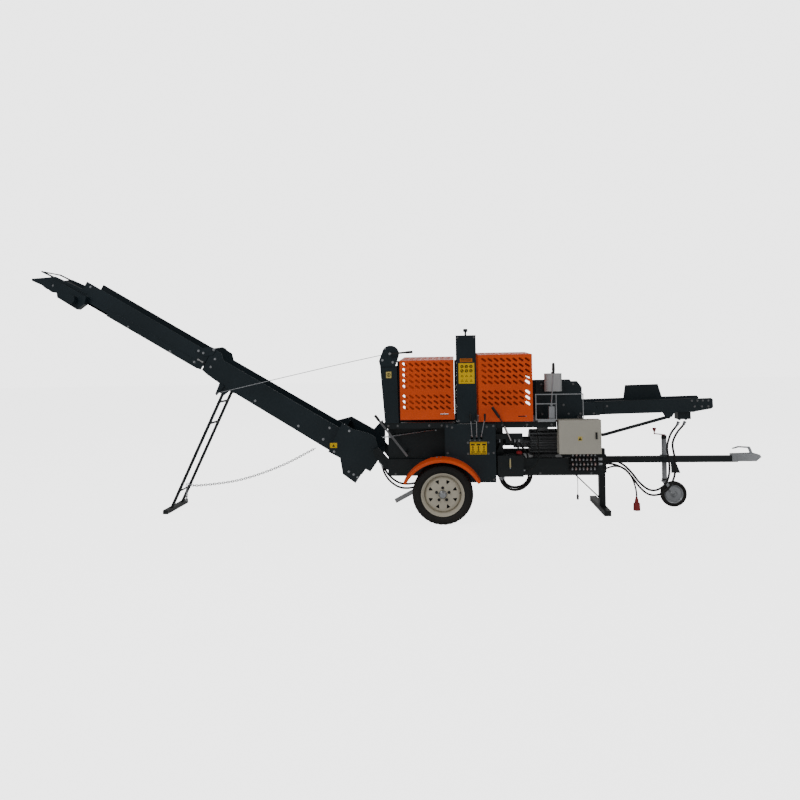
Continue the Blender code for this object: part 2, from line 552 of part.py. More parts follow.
def wedge_controls():
    """Hand lever of the wedge height, and the flat bar of the hopper lock."""
    y0, y1 = -0.352, -0.338
    pin = (0.05, y0, 0.762)
    lever = [disc(pin[0], pin[2], 0.014, y0, y1 + 0.008, sides=14),
             rod([(-0.020, -0.345, 0.752), (0.485, -0.345, 0.823)], 0.006, 8),
             rod([(0.482, -0.342, 0.8228), (0.489, -0.405, 0.8235)], 0.006, 8)]
    node("wedge_lever", "zinc", lever, pivot=pin)
    hinge = (0.205, -0.466, 0.610)
    bar = [strip((-0.060, 0.953), (0.222, 0.588), 0.010, -0.470, -0.463),
           rod([(-0.040, -0.4665, 0.927), (-0.078, -0.4665, 0.976)], 0.0135, 12)]
    node("lock_lever", "zinc", bar, pivot=hinge)


def saw():
    """Guide bar with its hub, and the tower that covers it."""
    x, y, z = SAW_X, SAW_Y, SAW_Z
    bar = [prism(capsule((y, z + 0.02), (y, z + SAW_REACH), 0.032, 10), x - 0.004, x + 0.004, "X"),
           disc(y, z, 0.044, x - 0.016, x + 0.016, "X", 24)]
    node("saw_bar", "bright steel", bar, pivot=(x, y, z))
    tower = block(TOWER_LEFT, TOWER_RIGHT, TOWER_FACE, TOWER_BACK, DECK_TOP + GAP, TOWER_TOP)
    inside = block(TOWER_LEFT + SHEET, TOWER_RIGHT - SHEET, TOWER_FACE + SHEET, TOWER_BACK + 0.1,
                   DECK_TOP - 0.1, TOWER_TOP - SHEET)
    knob = [turned([(0.0, TOWER_TOP - 0.002), (0.009, TOWER_TOP - 0.002), (0.009, TOWER_TOP + 0.030),
                    (0.021, TOWER_TOP + 0.036), (0.021, TOWER_TOP + 0.056), (0.014, TOWER_TOP + 0.062),
                    (0.0, TOWER_TOP + 0.062)],
                   x, -0.40, 0.0, "Z", 16)]
    node("saw_tower", "slate paint", [tower] + knob, [inside])


def saw_lever():
    pin = (1.182, -0.505, 0.725)
    lever = [disc(1.182, 0.725, 0.016, -0.512, -0.4975, sides=16),
             strip((1.182, 0.725), (1.120, 0.873), 0.010, -0.511, -0.503),
             rod([(1.122, -0.507, 0.868), (1.072, -0.515, 0.957)], 0.006, 8),
             rod([(1.078, -0.514, 0.948), (1.014, -0.524, 1.043)], 0.0135, 12)]
    node("saw_lever", "black plastic", lever, pivot=pin)


def control_box():
    x0, x1, y0, y1, z0, z1 = BOX
    shell = block(x0, x1, y0 + 0.016, y1, z0, z1)
    inside = block(x0 + 0.004, x1 - 0.004, y0, y1 - 0.004, z0 + 0.004, z1 - 0.004)
    feet = [block(1.82, 1.87, y1 - 0.002, -RAIL_OUT - GAP, z, z + 0.04) for z in (z0 + 0.03, z1 - 0.10)]
    node("control_box", "beige paint", [shell] + feet, [inside])
    door = [block(x0, x1, y0 + 0.001, y0 + 0.0155, z0, z1)]
    lip = block(x0 + 0.004, x1 - 0.004, y0 + 0.005, y0 + 0.02, z0 + 0.004, z1 - 0.004)
    key = disc(x1 - 0.045, 0.77, 0.0065, y0 - 0.01, y0 + 0.03, sides=12)
    node("box_door", "beige paint", door, [lip, key], pivot=(x0, y0 + 0.016, z0))
    handle = [disc(x1 - 0.045, 0.77, 0.006, y0 - 0.004, y0 + 0.012, sides=12),
              block(x1 - 0.053, x1 - 0.037, y0 - 0.009, y0 - GAP, 0.740, 0.800),
              block(x1 - 0.053, x1 - 0.020, y0 + 0.0065, y0 + 0.010, 0.762, 0.778)]
    node("box_latch", "black plastic", handle, pivot=(x1 - 0.045, y0, 0.77))
    switch = turned([(0.0, 0.0003), (0.020, 0.0003), (0.020, 0.008), (0.014, 0.010), (0.013, 0.026),
                     (0.0, 0.028)],
                    x1, -0.42, 0.77, "X", 16)
    node("main_switch", "black plastic", [switch,
                                          block(x1 + 0.02, x1 + 0.036, -0.4235, -0.4165, 0.755, 0.785)],
         pivot=(x1, -0.42, 0.77))


def hose_manifold():
    plate = [block(1.735, 1.985, -0.366, -RAIL_OUT - GAP, 0.425, 0.595)]
    for k, z in enumerate(rows(0.583, 0.450, 4)):
        left = 1.72 + 0.012 * (k % 2)
        plate.append(disc(-0.386, z, 0.009, left, 1.99, "X", 8))
        plate.append(disc(-0.386, z, 0.016, 1.90, 1.934, "X", 6))
        plate.append(block(1.845, 1.885, -0.3865, -0.360, z - 0.011, z + 0.011))
    node("hose_manifold", "zinc", plate)


# ---------------------------------------------------------------- guards, winch, feed

def guard(name, x0, x1, z0, top_near, top_far, end_wall):
    """Folded sheet cover with a near wall, a sloping top and a far wall, hinged along its far foot."""
    t = 0.003
    outer = [(GUARD_FACE, z0), (GUARD_FACE, top_near), (GUARD_BACK, top_far), (GUARD_BACK, z0),
             (GUARD_BACK - t, z0), (GUARD_BACK - t, top_far - t), (GUARD_FACE + t, top_near - t),
             (GUARD_FACE + t, z0)]
    parts = [prism(outer, x0, x1, "X")]
    if end_wall:
        frame = [(GUARD_FACE, z0), (GUARD_FACE, top_near), (GUARD_BACK, top_far), (GUARD_BACK, z0),
                 (GUARD_BACK - 0.02, z0), (GUARD_BACK - 0.02, z0 + 0.40), (-0.25, z0 + 0.40), (-0.25, z0)]
        parts.append(prism(frame, x1 - t, x1, "X"))
    node(name, "orange paint", parts, pivot=(x0, GUARD_BACK, z0))


def winch():
    x, y, z = WINCH_X, WINCH_Y, WINCH_Z
    post = prism([(0.016, DECK_TOP + GAP), (0.146, DECK_TOP + GAP), (0.136, 1.436), (-0.0225, 1.436)],
                 y - 0.03, y + 0.03)
    bolts = [disc(px, 0.925, 0.008, y - 0.036, y, sides=6) for px in (0.04, 0.12)]
    cheek = circle(x, z, 0.078, 10, radians(-20), radians(190)) + [(-0.031, 1.482), (-0.020, 1.4365),
                                                                   (0.120, 1.4365)]
    cheeks = [prism(cheek, y + a, y + b) for a, b in ((-0.045, -0.040), (0.040, 0.045))]
    base = [block(-0.018, 0.118, y - 0.042, y + 0.042, 1.430, 1.443)]
    hood = prism(circle(x, z, 0.0775, 7, radians(-5), radians(150)) + circle(x, z, 0.073, 7,
                                                                             radians(145), radians(-150)),
                 y - 0.042, y + 0.042)
    spindle_hole = disc(x, z, 0.0105, y - 0.06, y + 0.06, sides=14)
    inside = prism([(0.030, 0.85), (0.136, 0.85), (0.124, 1.424), (-0.012, 1.424)], y - 0.024, y + 0.024)
    node("winch_post", "slate paint", [post] + bolts + base + cheeks + [hood], [spindle_hole, inside])
    crank = [turned([(0.0, -0.085), (0.010, -0.085), (0.010, -0.034), (0.058, -0.034), (0.058, -0.029),
                     (0.024, -0.029),
                     (0.024, 0.029), (0.058, 0.029), (0.058, 0.034), (0.010, 0.034), (0.010, 0.048),
                     (0.0, 0.048)],
                    x, y, z, "Y", 16),
             strip((x - 0.012, z - 0.001), (x + 0.195, z + 0.013), 0.009, y - 0.084, y - 0.078),
             rod([(x + 0.150, y - 0.086, z + 0.010), (x + 0.213, y - 0.086, z + 0.014)], 0.0125, 12)]
    node("winch_crank", "black plastic", crank, pivot=(x, y, z))


def infeed():
    """Log chute, folding infeed conveyor with its belt, hump plate and prop."""
    foot, top, slope_x = DECK_TOP + GAP, 1.26, 1.837
    side = [(1.454, foot), (DECK_FRONT - 0.001, foot), (DECK_FRONT - 0.001, 0.925), (2.045, 0.93),
            (2.075, 0.97),
            (2.075, 1.045), (1.882, 1.06), (1.882, 1.20), (slope_x, top), (1.454, top)]
    sides = both_sides([prism(side, 0.213, 0.219)])
    floor = [block(1.456, DECK_FRONT - 0.002, -0.215, 0.215, foot, foot + 0.006)]
    pin_holes = [disc(INFEED_X, INFEED_Z, 0.0125, -0.23, 0.23, sides=16)]
    node("infeed_chute", "slate paint", sides + floor, pin_holes)
    at, turn = (INFEED_X, 0.0, INFEED_Z), -INFEED_SLOPE
    cheek = [(-0.115, -0.050), (-0.115, 0.048), (-0.09, 0.055), (1.055, 0.055), (1.07, 0.04),
             (1.07, -0.035),
             (1.05, -0.048), (0.90, -0.07), (-0.09, -0.07)]
    plates = both_sides([prism(cheek, INFEED_HALF - SHEET, INFEED_HALF)])
    beds = [block(0.05, 0.97, 0.004 - INFEED_HALF, INFEED_HALF - 0.004, -0.002, 0.004)]
    ties = [rod([(s, 0.003 - INFEED_HALF, n), (s, INFEED_HALF - 0.003, n)], 0.010, 10)
            for s, n in ((-0.01, -0.005), (0.45, -0.060), (0.92, -0.058))]
    pins = both_sides([disc(0.0, 0.0, 0.012, INFEED_HALF - 0.003, 0.224, sides=16)])
    hump = [prism([(0.335, 0.045), (0.357, 0.182), (0.68, 0.182), (0.717, 0.045)], 0.1945, 0.1995)]
    ears = [prism([(0.61, -0.065), (0.72, -0.065), (0.69, -0.115), (0.64, -0.115)], y, y + 0.005)
            for y in (-0.1945, -0.1505)]
    ear_bar = [block(0.62, 0.71, -0.199, -0.148, -0.075, -0.065)]
    motor = [block(0.76, 0.88, -0.145, -0.035, -0.145, -0.070),
             block(0.74, 0.90, -0.197, 0.197, -0.074, -0.066)]
    ports = [rod([(s, -0.09, -0.14), (s, -0.09, -0.158)], 0.011, 10) for s in (0.79, 0.85)]
    node("infeed_frame", "slate paint", plates + beds + ties + pins + hump + ears + ear_bar + motor + ports,
                 at=at, turn=turn)
    front, rear, radius = 0.985, 0.0 + 0.06, 0.0265
    outline = (circle(front, 0.004, radius, 10, -pi / 2, pi) + circle(rear, 0.004, radius, 10, pi / 2, pi))
    inner = (circle(front, 0.004, radius - 0.006, 10, -pi / 2, pi) + circle(rear, 0.004, radius - 0.006,
                                                                            10, pi / 2, pi))
    belt = prism(outline, -0.175, 0.175)
    node("infeed_belt", "belt", [belt], [prism(inner, -0.2, 0.2)], at=at, turn=turn)
    low, high = (2.087, 0.739), STRUT_TOP
    bar = [strip(low, high, 0.013, -0.186, -0.154),
           disc(high[0], high[1], 0.018, -0.1865, -0.1535, sides=16)]
    node("infeed_strut", "black paint", bar, pivot=(high[0], -0.17, high[1]))


def feed_controls():
    base = [block(1.536, 1.588, -0.468, -0.424, 0.9225, 1.040),
            block(1.53, 1.594, -0.475, -0.405, DECK_TOP + GAP, 0.925)]
    cage = [block(x0, x1, -0.4965, -0.4875, z, z + 0.009)
            for x0, x1, z in ((1.410, 1.846, 1.148), (1.410, 1.604, 0.917), (1.410, 1.604, 1.062))]
    cage += [block(x, x + 0.008, -0.496, -0.488, 0.918, 1.155) for x in (1.411, 1.595, 1.8375)]
    cage += [block(1.8380, 1.8450, -0.492, -0.2195, 0.925, 0.933),
             block(1.43, 1.58, -0.492, -0.41, DECK_TOP + GAP, 0.920)]
    node("lever_cage", "zinc", base + cage)
    pin = (1.562, -0.446, 1.052)
    node("feed_lever", "zinc", [disc(pin[0], pin[2], 0.011, -0.454, -0.438, sides=14),
                                rod([(1.562, -0.446, 1.055), (1.585, -0.446, 1.395)], 0.0065, 8),
                                turned([(0.0, 1.345), (0.012, 1.347), (0.015, 1.38), (0.013, 1.430),
                                        (0.009, 1.441),
                                        (0.0, 1.442)], 1.586, -0.446, 0.0, "Z", 14)], pivot=pin)
    lobes = circle(1.560, -0.262, 0.038, 14, pi / 2, pi) + circle(1.650, -0.262, 0.038, 14, -pi / 2, pi)
    jar = [prism(lobes, 1.168, 1.338, "Z"), disc(1.605, -0.262, 0.018, 1.335, 1.352, "Z", 16)]
    node("oil_canister", "grey plastic", jar)


# ---------------------------------------------------------------- discharge conveyor
# Its own axes: x runs down the conveyor, z square to it. Lengths s are counted up from the tilt pins.

def along(outline):
    return [(-s, n) for s, n in outline]


def on_conveyor(s, n):
    """World x and z of a point of the conveyor."""
    c, k = cos(CONVEYOR_ANGLE), sin(CONVEYOR_ANGLE)
    return CONVEYOR_X - c * s + k * n, CONVEYOR_Z + k * s + c * n


def belt_loop(rollers, thick):
    """Outline of a belt round rollers (s, n, radius). A negative radius presses on its outer side."""
    outline = []
    count = len(rollers)
    for i, (s, n, r) in enumerate(rollers):
        ps, pn, pr = rollers[i - 1]
        ns, nn, nr = rollers[(i + 1) % count]
        into = tangent(ps, pn, pr - thick, s, n, r - thick)
        out = tangent(s, n, r - thick, ns, nn, nr - thick)
        turn = (out - into) % (2 * pi) if r > 0 else 0.0
        steps = max(1, int(turn / radians(18)))
        outline += [(s + (r - thick) * cos(into + turn * k / steps),
                     n + (r - thick) * sin(into + turn * k / steps))
                    for k in range(steps + 1)]
    return outline


def tangent(s0, n0, r0, s1, n1, r1):
    """Direction from a roller's centre to where the run to the next roller leaves it."""
    gap = hypot(s1 - s0, n1 - n0)
    return atan2(n1 - n0, s1 - s0) - pi / 2 + atan2(r0 - r1, gap)


def belt(name, rollers, flights, at, turn, shift=(0.0, 0.0)):
    def outline(thick):
        return [(-(s - shift[0]), n - shift[1]) for s, n in belt_loop(rollers, thick)]
    slats = [block(-(s - shift[0]) - 0.006, -(s - shift[0]) + 0.006, -0.135, 0.135,
                   n - shift[1] - 0.004, n - shift[1] + 0.024) for s, n in flights]
    node(name, "belt", [prism(outline(0.0), -0.14, 0.14)] + slats, [prism(outline(0.006), -0.2, 0.2)],
         at=at, turn=turn)


def lower_conveyor(at, turn):
    half, t = CONVEYOR_HALF, SHEET
    board = [(0.40, -0.245), (1.62, -0.225), (1.85, -0.205), (1.925, -0.19), (1.925, 0.0), (1.953, 0.030),
             (1.93, 0.055), (1.83, 0.052), (1.78, 0.0), (0.40, 0.0)]
    boards = both_sides([prism(along(board), half - t, half)])
    near_plate = [(0.428, 0.065), (0.30, 0.068), (0.16, 0.110), (0.079, 0.110), (-0.059, -0.036),
                  (-0.052, -0.112),
                  (-0.044, -0.206), (0.015, -0.208), (0.027, -0.377), (0.179, -0.362), (0.280, -0.240),
                  (0.41, -0.246)]
    far_plate = [(0.579, -0.062), (0.420, 0.095), (0.153, 0.099), (0.124, 0.225),
                 (0.062, 0.179)] + near_plate[4:11] \
        + [(0.56, -0.246)]
    plates = [prism(along(near_plate), -HOPPER_HALF, -HOPPER_HALF + t),
              prism(along(far_plate), HOPPER_HALF - t, HOPPER_HALF)]
    shoulders = both_sides([prism(along([(0.402, -0.240), (0.410, -0.240), (0.410, 0.060), (0.402, 0.060)]),
                                  half - 0.003, HOPPER_HALF - 0.002)])
    apron = [prism(along([(-0.043, -0.204), (0.41, -0.244), (0.41, -0.238), (-0.043, -0.198)]),
                   0.002 - HOPPER_HALF,
                   HOPPER_HALF - 0.002),
             prism(along([(-0.052, -0.112), (-0.044, -0.204), (-0.038, -0.204), (-0.046, -0.112)]),
                   0.002 - HOPPER_HALF,
                   HOPPER_HALF - 0.002)]
    ledges = both_sides([prism(along([(0.0, -0.135), (0.42, -0.135), (0.42, -0.060), (0.0, -0.130)]),
                               0.150, 0.153),
                         prism(along([(0.0, -0.138), (0.42, -0.138), (0.42, -0.132), (0.0, -0.132)]),
                               0.150, HOPPER_HALF - 0.002)])
    bed = [prism(along([(0.12, -0.156), (1.80, -0.156), (1.80, -0.150), (0.12, -0.150)]), 0.002 - half,
                 half - 0.002)]
    ties = [rod([(-s, 0.003 - half, n), (-s, half - 0.003, n)], 0.009, 8)
            for s, n in ((0.60, -0.225), (1.10, -0.220), (1.50, -0.216), (1.885, -0.165))]
    feet = both_sides([prism(along([(1.57, -0.215), (1.70, -0.205), (1.66, -0.300), (1.605, -0.300)]),
                             0.1455, 0.166)])
    hook = [prism(along([(1.64, -0.215), (1.70, -0.215), (1.685, -0.330), (1.665, -0.335)]), -0.182,
                  -0.168)]
    holes = [disc(0.0, 0.0, 0.0125, -0.3, 0.3, sides=16),
             disc(-FOLD_S, FOLD_N, 0.0085, -0.3, 0.3, sides=12),
             disc(-CONVEYOR_LEG_S, CONVEYOR_LEG_N, 0.0085, -0.3, 0.3, sides=12)]
    node("conveyor_lower", "slate paint",
         boards + plates + shoulders + apron + ledges + bed + ties + feet + hook, holes, at=at, turn=turn)


def upper_conveyor(at, turn):
    """Upper length with the fold knuckles, the head arms and the head motor."""
    half, t = CONVEYOR_HALF, SHEET
    out = [(s - FOLD_S, n - FOLD_N) for s, n in
           [(1.935, -0.195), (1.99, -0.205), (3.05, -0.205), (3.05, -0.18), (3.40, -0.18), (3.40, 0.0),
            (1.935, 0.0)]]
    boards = both_sides([prism(along(out), half - t, half)])
    knuckle = [(s - FOLD_S, n - FOLD_N) for s, n in
               [(1.895, 0.0), (1.895, 0.05), (1.915, 0.062), (1.955, 0.058), (2.03, 0.0), (2.08, -0.06),
                (1.97, -0.06)]]
    knuckles = both_sides([prism(along(knuckle), half + 0.0005, half + 0.0065)])
    pins = both_sides([disc(0.0, 0.0, 0.008, half - 0.008, half + 0.009, sides=12)])
    weld = both_sides([prism(along([(s - FOLD_S, n - FOLD_N)
                                    for s, n in [(1.98, -0.05), (2.06, -0.05), (2.03, -0.01),
                                                 (1.99, -0.01)]]),
                             half - 0.003, half + 0.003)])
    bed = [prism(along([(s - FOLD_S, n - FOLD_N)
                        for s, n in [(2.06, -0.156), (3.45, -0.156), (3.45, -0.150), (2.06, -0.150)]]),
                 0.002 - half, half - 0.002)]
    arm = [(s - FOLD_S, n - FOLD_N) for s, n in
           [(3.30, -0.16), (3.30, -0.10), (3.36, -0.085), (3.72, -0.120), (3.80, -0.175),
            (TIP_S, TIP_N), (TIP_S - 0.013, TIP_N - 0.020),
            (3.80, -0.265), (3.745, -0.275), (3.60, -0.255), (3.40, -0.195)]]
    arms = both_sides([prism(along(arm), 0.150, half - 0.002)])
    rails = both_sides([prism(along([(s - FOLD_S, n - FOLD_N) for s, n in
                                     [(3.34, -0.115), (3.87, -0.150), (3.871, -0.136),
                                      (3.341, -0.101)]]), 0.155, half + 0.004)])
    bar = [rod([(FOLD_S - 3.865, -half, -0.143 - FOLD_N), (FOLD_S - 3.865, half, -0.143 - FOLD_N)],
               0.007, 8)]
    ties = [rod([(FOLD_S - s, 0.003 - half, n - FOLD_N), (FOLD_S - s, half - 0.003, n - FOLD_N)], 0.009, 8)
            for s, n in ((1.975, -0.170), (3.40, -0.172))]
    gear = [prism(along([(s - FOLD_S, n - FOLD_N) for s, n in
                         [(3.30, -0.125), (3.58, -0.135), (3.62, -0.20), (3.56, -0.28), (3.32, -0.285),
                          (3.28, -0.20)]]),
                  -0.235, -half + 0.010)]
    motor = [rod([(FOLD_S - 3.40, -0.23, -0.215 - FOLD_N), (FOLD_S - 3.40, -0.30, -0.215 - FOLD_N)],
                 0.045, 18)]
    axle_holes = [disc(FOLD_S - HEAD_S, HEAD_N - FOLD_N, 0.0125, -0.168, 0.3, sides=16)]
    node("conveyor_upper", "slate paint",
         boards + knuckles + weld + pins + bed + arms + rails + bar + ties + gear + motor, axle_holes,
         at=at, turn=turn)


def conveyor():
    at, turn = (CONVEYOR_X, 0.0, CONVEYOR_Z), CONVEYOR_ANGLE
    lower_conveyor(at, turn)
    belt("belt_lower", [(1.81, -0.170, 0.030), (0.07, -0.165, 0.028)],
         [(s, -0.1385) for s in rows(0.25, 1.65, 6)], at, turn)
    fold_x, fold_z = on_conveyor(FOLD_S, FOLD_N)
    fold_at = (fold_x, 0.0, fold_z)
    upper_conveyor(fold_at, turn)
    belt("belt_upper", [(2.05, -0.170, 0.030), (3.50, -0.236, -0.030), (HEAD_S, HEAD_N, HEAD_RADIUS)],
         [(s, -0.1415) for s in rows(2.2, 3.4, 5)], fold_at, turn, (FOLD_S, FOLD_N))
    head_x, head_z = on_conveyor(HEAD_S, HEAD_N)
    drum = [(0.0, -0.160), (0.012, -0.160), (0.012, -0.1405), (HEAD_RADIUS - 0.0078, -0.1405),
            (HEAD_RADIUS - 0.0078, 0.1405), (0.012, 0.1405), (0.012, 0.175), (0.0, 0.175)]
    node("head_drum", "zinc", [turned(drum, head_x, 0.0, head_z, sides=20)], pivot=(head_x, 0.0, head_z))
    leg_x, leg_z = on_conveyor(CONVEYOR_LEG_S, CONVEYOR_LEG_N)
    foot_x = -2.205
    span = (foot_x - leg_x, 0.0 - leg_z)
    legs = both_sides([strip((leg_x, leg_z), (foot_x + 0.012, 0.030), 0.014, 0.130, 0.145)])
    eyes = both_sides([disc(leg_x, leg_z, 0.018, 0.129, 0.1450, sides=14),
                       disc(leg_x, leg_z, 0.008, 0.12, 0.1665, sides=12)])
    rungs = [rod([(leg_x + span[0] * f, -0.135, leg_z + span[1] * f),
                  (leg_x + span[0] * f, 0.135, leg_z + span[1] * f)],
                 0.011, 10) for f in (0.26, 0.08)]
    foot = [block(foot_x - 0.022, foot_x + 0.028, -0.27, 0.27, 0.0, 0.040)]
    chain_bar = [rod([(leg_x + span[0] * 0.83, -0.135, leg_z + span[1] * 0.83),
                      (leg_x + span[0] * 0.83, 0.135, leg_z + span[1] * 0.83)],
                     0.009, 10)]
    node("conveyor_leg", "black paint", legs + eyes + rungs + foot + chain_bar, pivot=(leg_x, 0.0, leg_z))


# ---------------------------------------------------------------- cables, chain and hoses

def lines():
    hook_x, hook_z = on_conveyor(1.676, -0.318)
    cord("winch_cable", "zinc", [(0.020, WINCH_Y, 1.545), (-0.60, -0.341, 1.420),
                                 (hook_x + 0.004, -0.1985, hook_z)], 0.0035, 0.08)
    cord("leg_chain", "zinc", [(-2.0825, 0.0, 0.250), (-1.95, 0.0, 0.235), (-1.526, 0.0, 0.290),
                               (-1.10, 0.0, 0.430),
                               (-0.735, 0.0, 0.610)], 0.006, 0.05)
    cord("infeed_hose", "rubber", [(2.872, -0.090, 0.8460), (2.850, -0.105, 0.815),
                                   (2.780, -0.14, 0.745), (2.735, -0.155, 0.645),
                                   (2.748, -0.17, 0.507), (2.745, -0.178, 0.369), (2.700, -0.18, 0.250),
                                   (2.612, -0.182, 0.175),
                                   (2.505, -0.184, 0.168), (2.418, -0.186, 0.235), (2.340, -0.20, 0.340),
                                   (2.250, -0.27, 0.430), (2.120, -0.36, 0.490),
                                   (1.9935, -0.386, 0.495)], 0.010, 0.045)
    cord("conveyor_hose", "rubber", [(-0.040, -0.2315, 0.470), (-0.020, -0.2315, 0.394),
                                     (0.032, -0.24, 0.320),
                                     (0.105, -0.25, 0.268), (0.178, -0.26, 0.252), (0.264, -0.27, 0.262),
                                     (0.340, -0.275, 0.300), (0.40, -0.28, 0.345)], 0.010, 0.030)
    cord("power_lead", "rubber", [(2.0465, -0.25, 0.425), (2.080, -0.245, 0.427), (2.180, -0.19, 0.440),
                                  (2.285, -0.14, 0.410), (2.352, -0.125, 0.330), (2.388, PLUG_Y, 0.235),
                                  (PLUG_X, PLUG_Y, 0.165), (PLUG_X, PLUG_Y, 0.1315)], 0.008, 0.030)
    plug = [(0.0, 0.130), (0.0115, 0.130), (0.0115, 0.118), (0.016, 0.112), (0.020, 0.078), (0.031, 0.074),
            (0.033, 0.030), (0.033, 0.004), (0.028, 0.004), (0.028, 0.040), (0.0, 0.040)]
    node("power_plug", "red plastic", [turned(plug, PLUG_X, PLUG_Y, 0.0, "Z", 16)],
         pivot=(PLUG_X, PLUG_Y, 0.130))


main_frame()
upper_frame()
fender("fender_near", -1)
fender("fender_far", 1)
wheel("near", -1)
wheel("far", 1)
coupling()
jockey()
stabiliser()
rear_prop()
oil_tank()
valve_cover()
valve_levers()
electric_motor()
ram()
splitting_wedge()
wedge_controls()
saw()
saw_lever()
control_box()
hose_manifold()
guard("guard_left", 0.162, 0.670, 0.930, 1.485, 1.512, False)
guard("guard_right", 0.890, 1.390, 0.905, 1.527, 1.545, True)
winch()
infeed()
feed_controls()
conveyor()
lines()
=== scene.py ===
"""Looks of a towable firewood processor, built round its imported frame. Metres, +Z up, +X to the eye."""

import json
from math import atan2, cos, hypot, pi, radians, sin

import bpy
import bmesh
from mathutils import Matrix, Vector


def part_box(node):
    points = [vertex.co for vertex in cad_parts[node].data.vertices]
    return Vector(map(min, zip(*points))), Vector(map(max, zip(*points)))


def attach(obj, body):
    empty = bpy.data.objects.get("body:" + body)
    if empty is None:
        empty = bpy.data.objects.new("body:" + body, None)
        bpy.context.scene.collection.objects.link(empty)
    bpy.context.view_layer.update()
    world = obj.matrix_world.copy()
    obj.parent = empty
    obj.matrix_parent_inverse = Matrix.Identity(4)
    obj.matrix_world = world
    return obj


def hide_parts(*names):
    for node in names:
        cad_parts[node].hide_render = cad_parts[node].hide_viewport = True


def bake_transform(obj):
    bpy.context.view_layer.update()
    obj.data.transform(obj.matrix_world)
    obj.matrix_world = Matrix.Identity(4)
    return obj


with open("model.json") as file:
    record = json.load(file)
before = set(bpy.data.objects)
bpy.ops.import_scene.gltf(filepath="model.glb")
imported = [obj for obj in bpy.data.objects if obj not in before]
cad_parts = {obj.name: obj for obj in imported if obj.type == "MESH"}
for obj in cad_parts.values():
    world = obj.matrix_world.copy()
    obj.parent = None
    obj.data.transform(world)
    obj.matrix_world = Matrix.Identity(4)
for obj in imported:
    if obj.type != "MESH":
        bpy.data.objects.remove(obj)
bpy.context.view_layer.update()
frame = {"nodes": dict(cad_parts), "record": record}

NODES = frame["nodes"]

# ---------------------------------------------------------------- camera, floor and light

CAMERA_PLACE = (0.6606, -7.0, 1.557)
CAMERA_YAW = radians(4.3)
CAMERA_ROLL = radians(-1.0)
CAMERA_LENS = 31.5
CAMERA_SHIFT = -0.0589

camera = bpy.data.objects.new("camera", bpy.data.cameras.new("camera"))
bpy.context.scene.collection.objects.link(camera)
camera.data.lens = CAMERA_LENS
camera.data.sensor_width = 36.0
camera.data.shift_y = CAMERA_SHIFT
camera.matrix_world = (Matrix.Translation(CAMERA_PLACE) @ Matrix.Rotation(CAMERA_YAW, 4, "Z")
                       @ Matrix.Rotation(radians(90), 4, "X") @ Matrix.Rotation(CAMERA_ROLL, 4, "Z"))
bpy.context.scene.camera = camera

LIGHT_TARGET = Vector((0.2, 0.0, 0.8))


def lamp(name, place, size, power):
    """Large soft light aimed at the machine."""
    light = bpy.data.lights.new(name, "AREA")
    light.shape = "DISK"
    light.size = size
    light.energy = power
    thing = bpy.data.objects.new(name, light)
    thing.location = place
    thing.rotation_euler = (LIGHT_TARGET - Vector(place)).to_track_quat("-Z", "Y").to_euler()
    bpy.context.scene.collection.objects.link(thing)


lamp("key", (-3.5, -6.0, 6.5), 4.0, 210)
lamp("fill", (6.0, -5.0, 3.5), 5.0, 60)
lamp("back", (1.0, 6.5, 5.5), 5.0, 120)


def seen_level(tree, socket, unseen, seen):
    """Give a strength one value as light on the machine and another where it is looked at."""
    ray = tree.nodes.new("ShaderNodeLightPath")
    level = tree.nodes.new("ShaderNodeMapRange")
    level.inputs["To Min"].default_value = unseen
    level.inputs["To Max"].default_value = seen
    tree.links.new(ray.outputs["Is Camera Ray"], level.inputs["Value"])
    tree.links.new(level.outputs["Result"], socket)


world = bpy.data.worlds.new("studio")
world.use_nodes = True
backdrop = world.node_tree.nodes["Background"]
backdrop.inputs["Color"].default_value = (1.0, 1.0, 1.0, 1.0)
seen_level(world.node_tree, backdrop.inputs["Strength"], 0.30, 3.4)
bpy.context.scene.world = world


# ---------------------------------------------------------------- materials

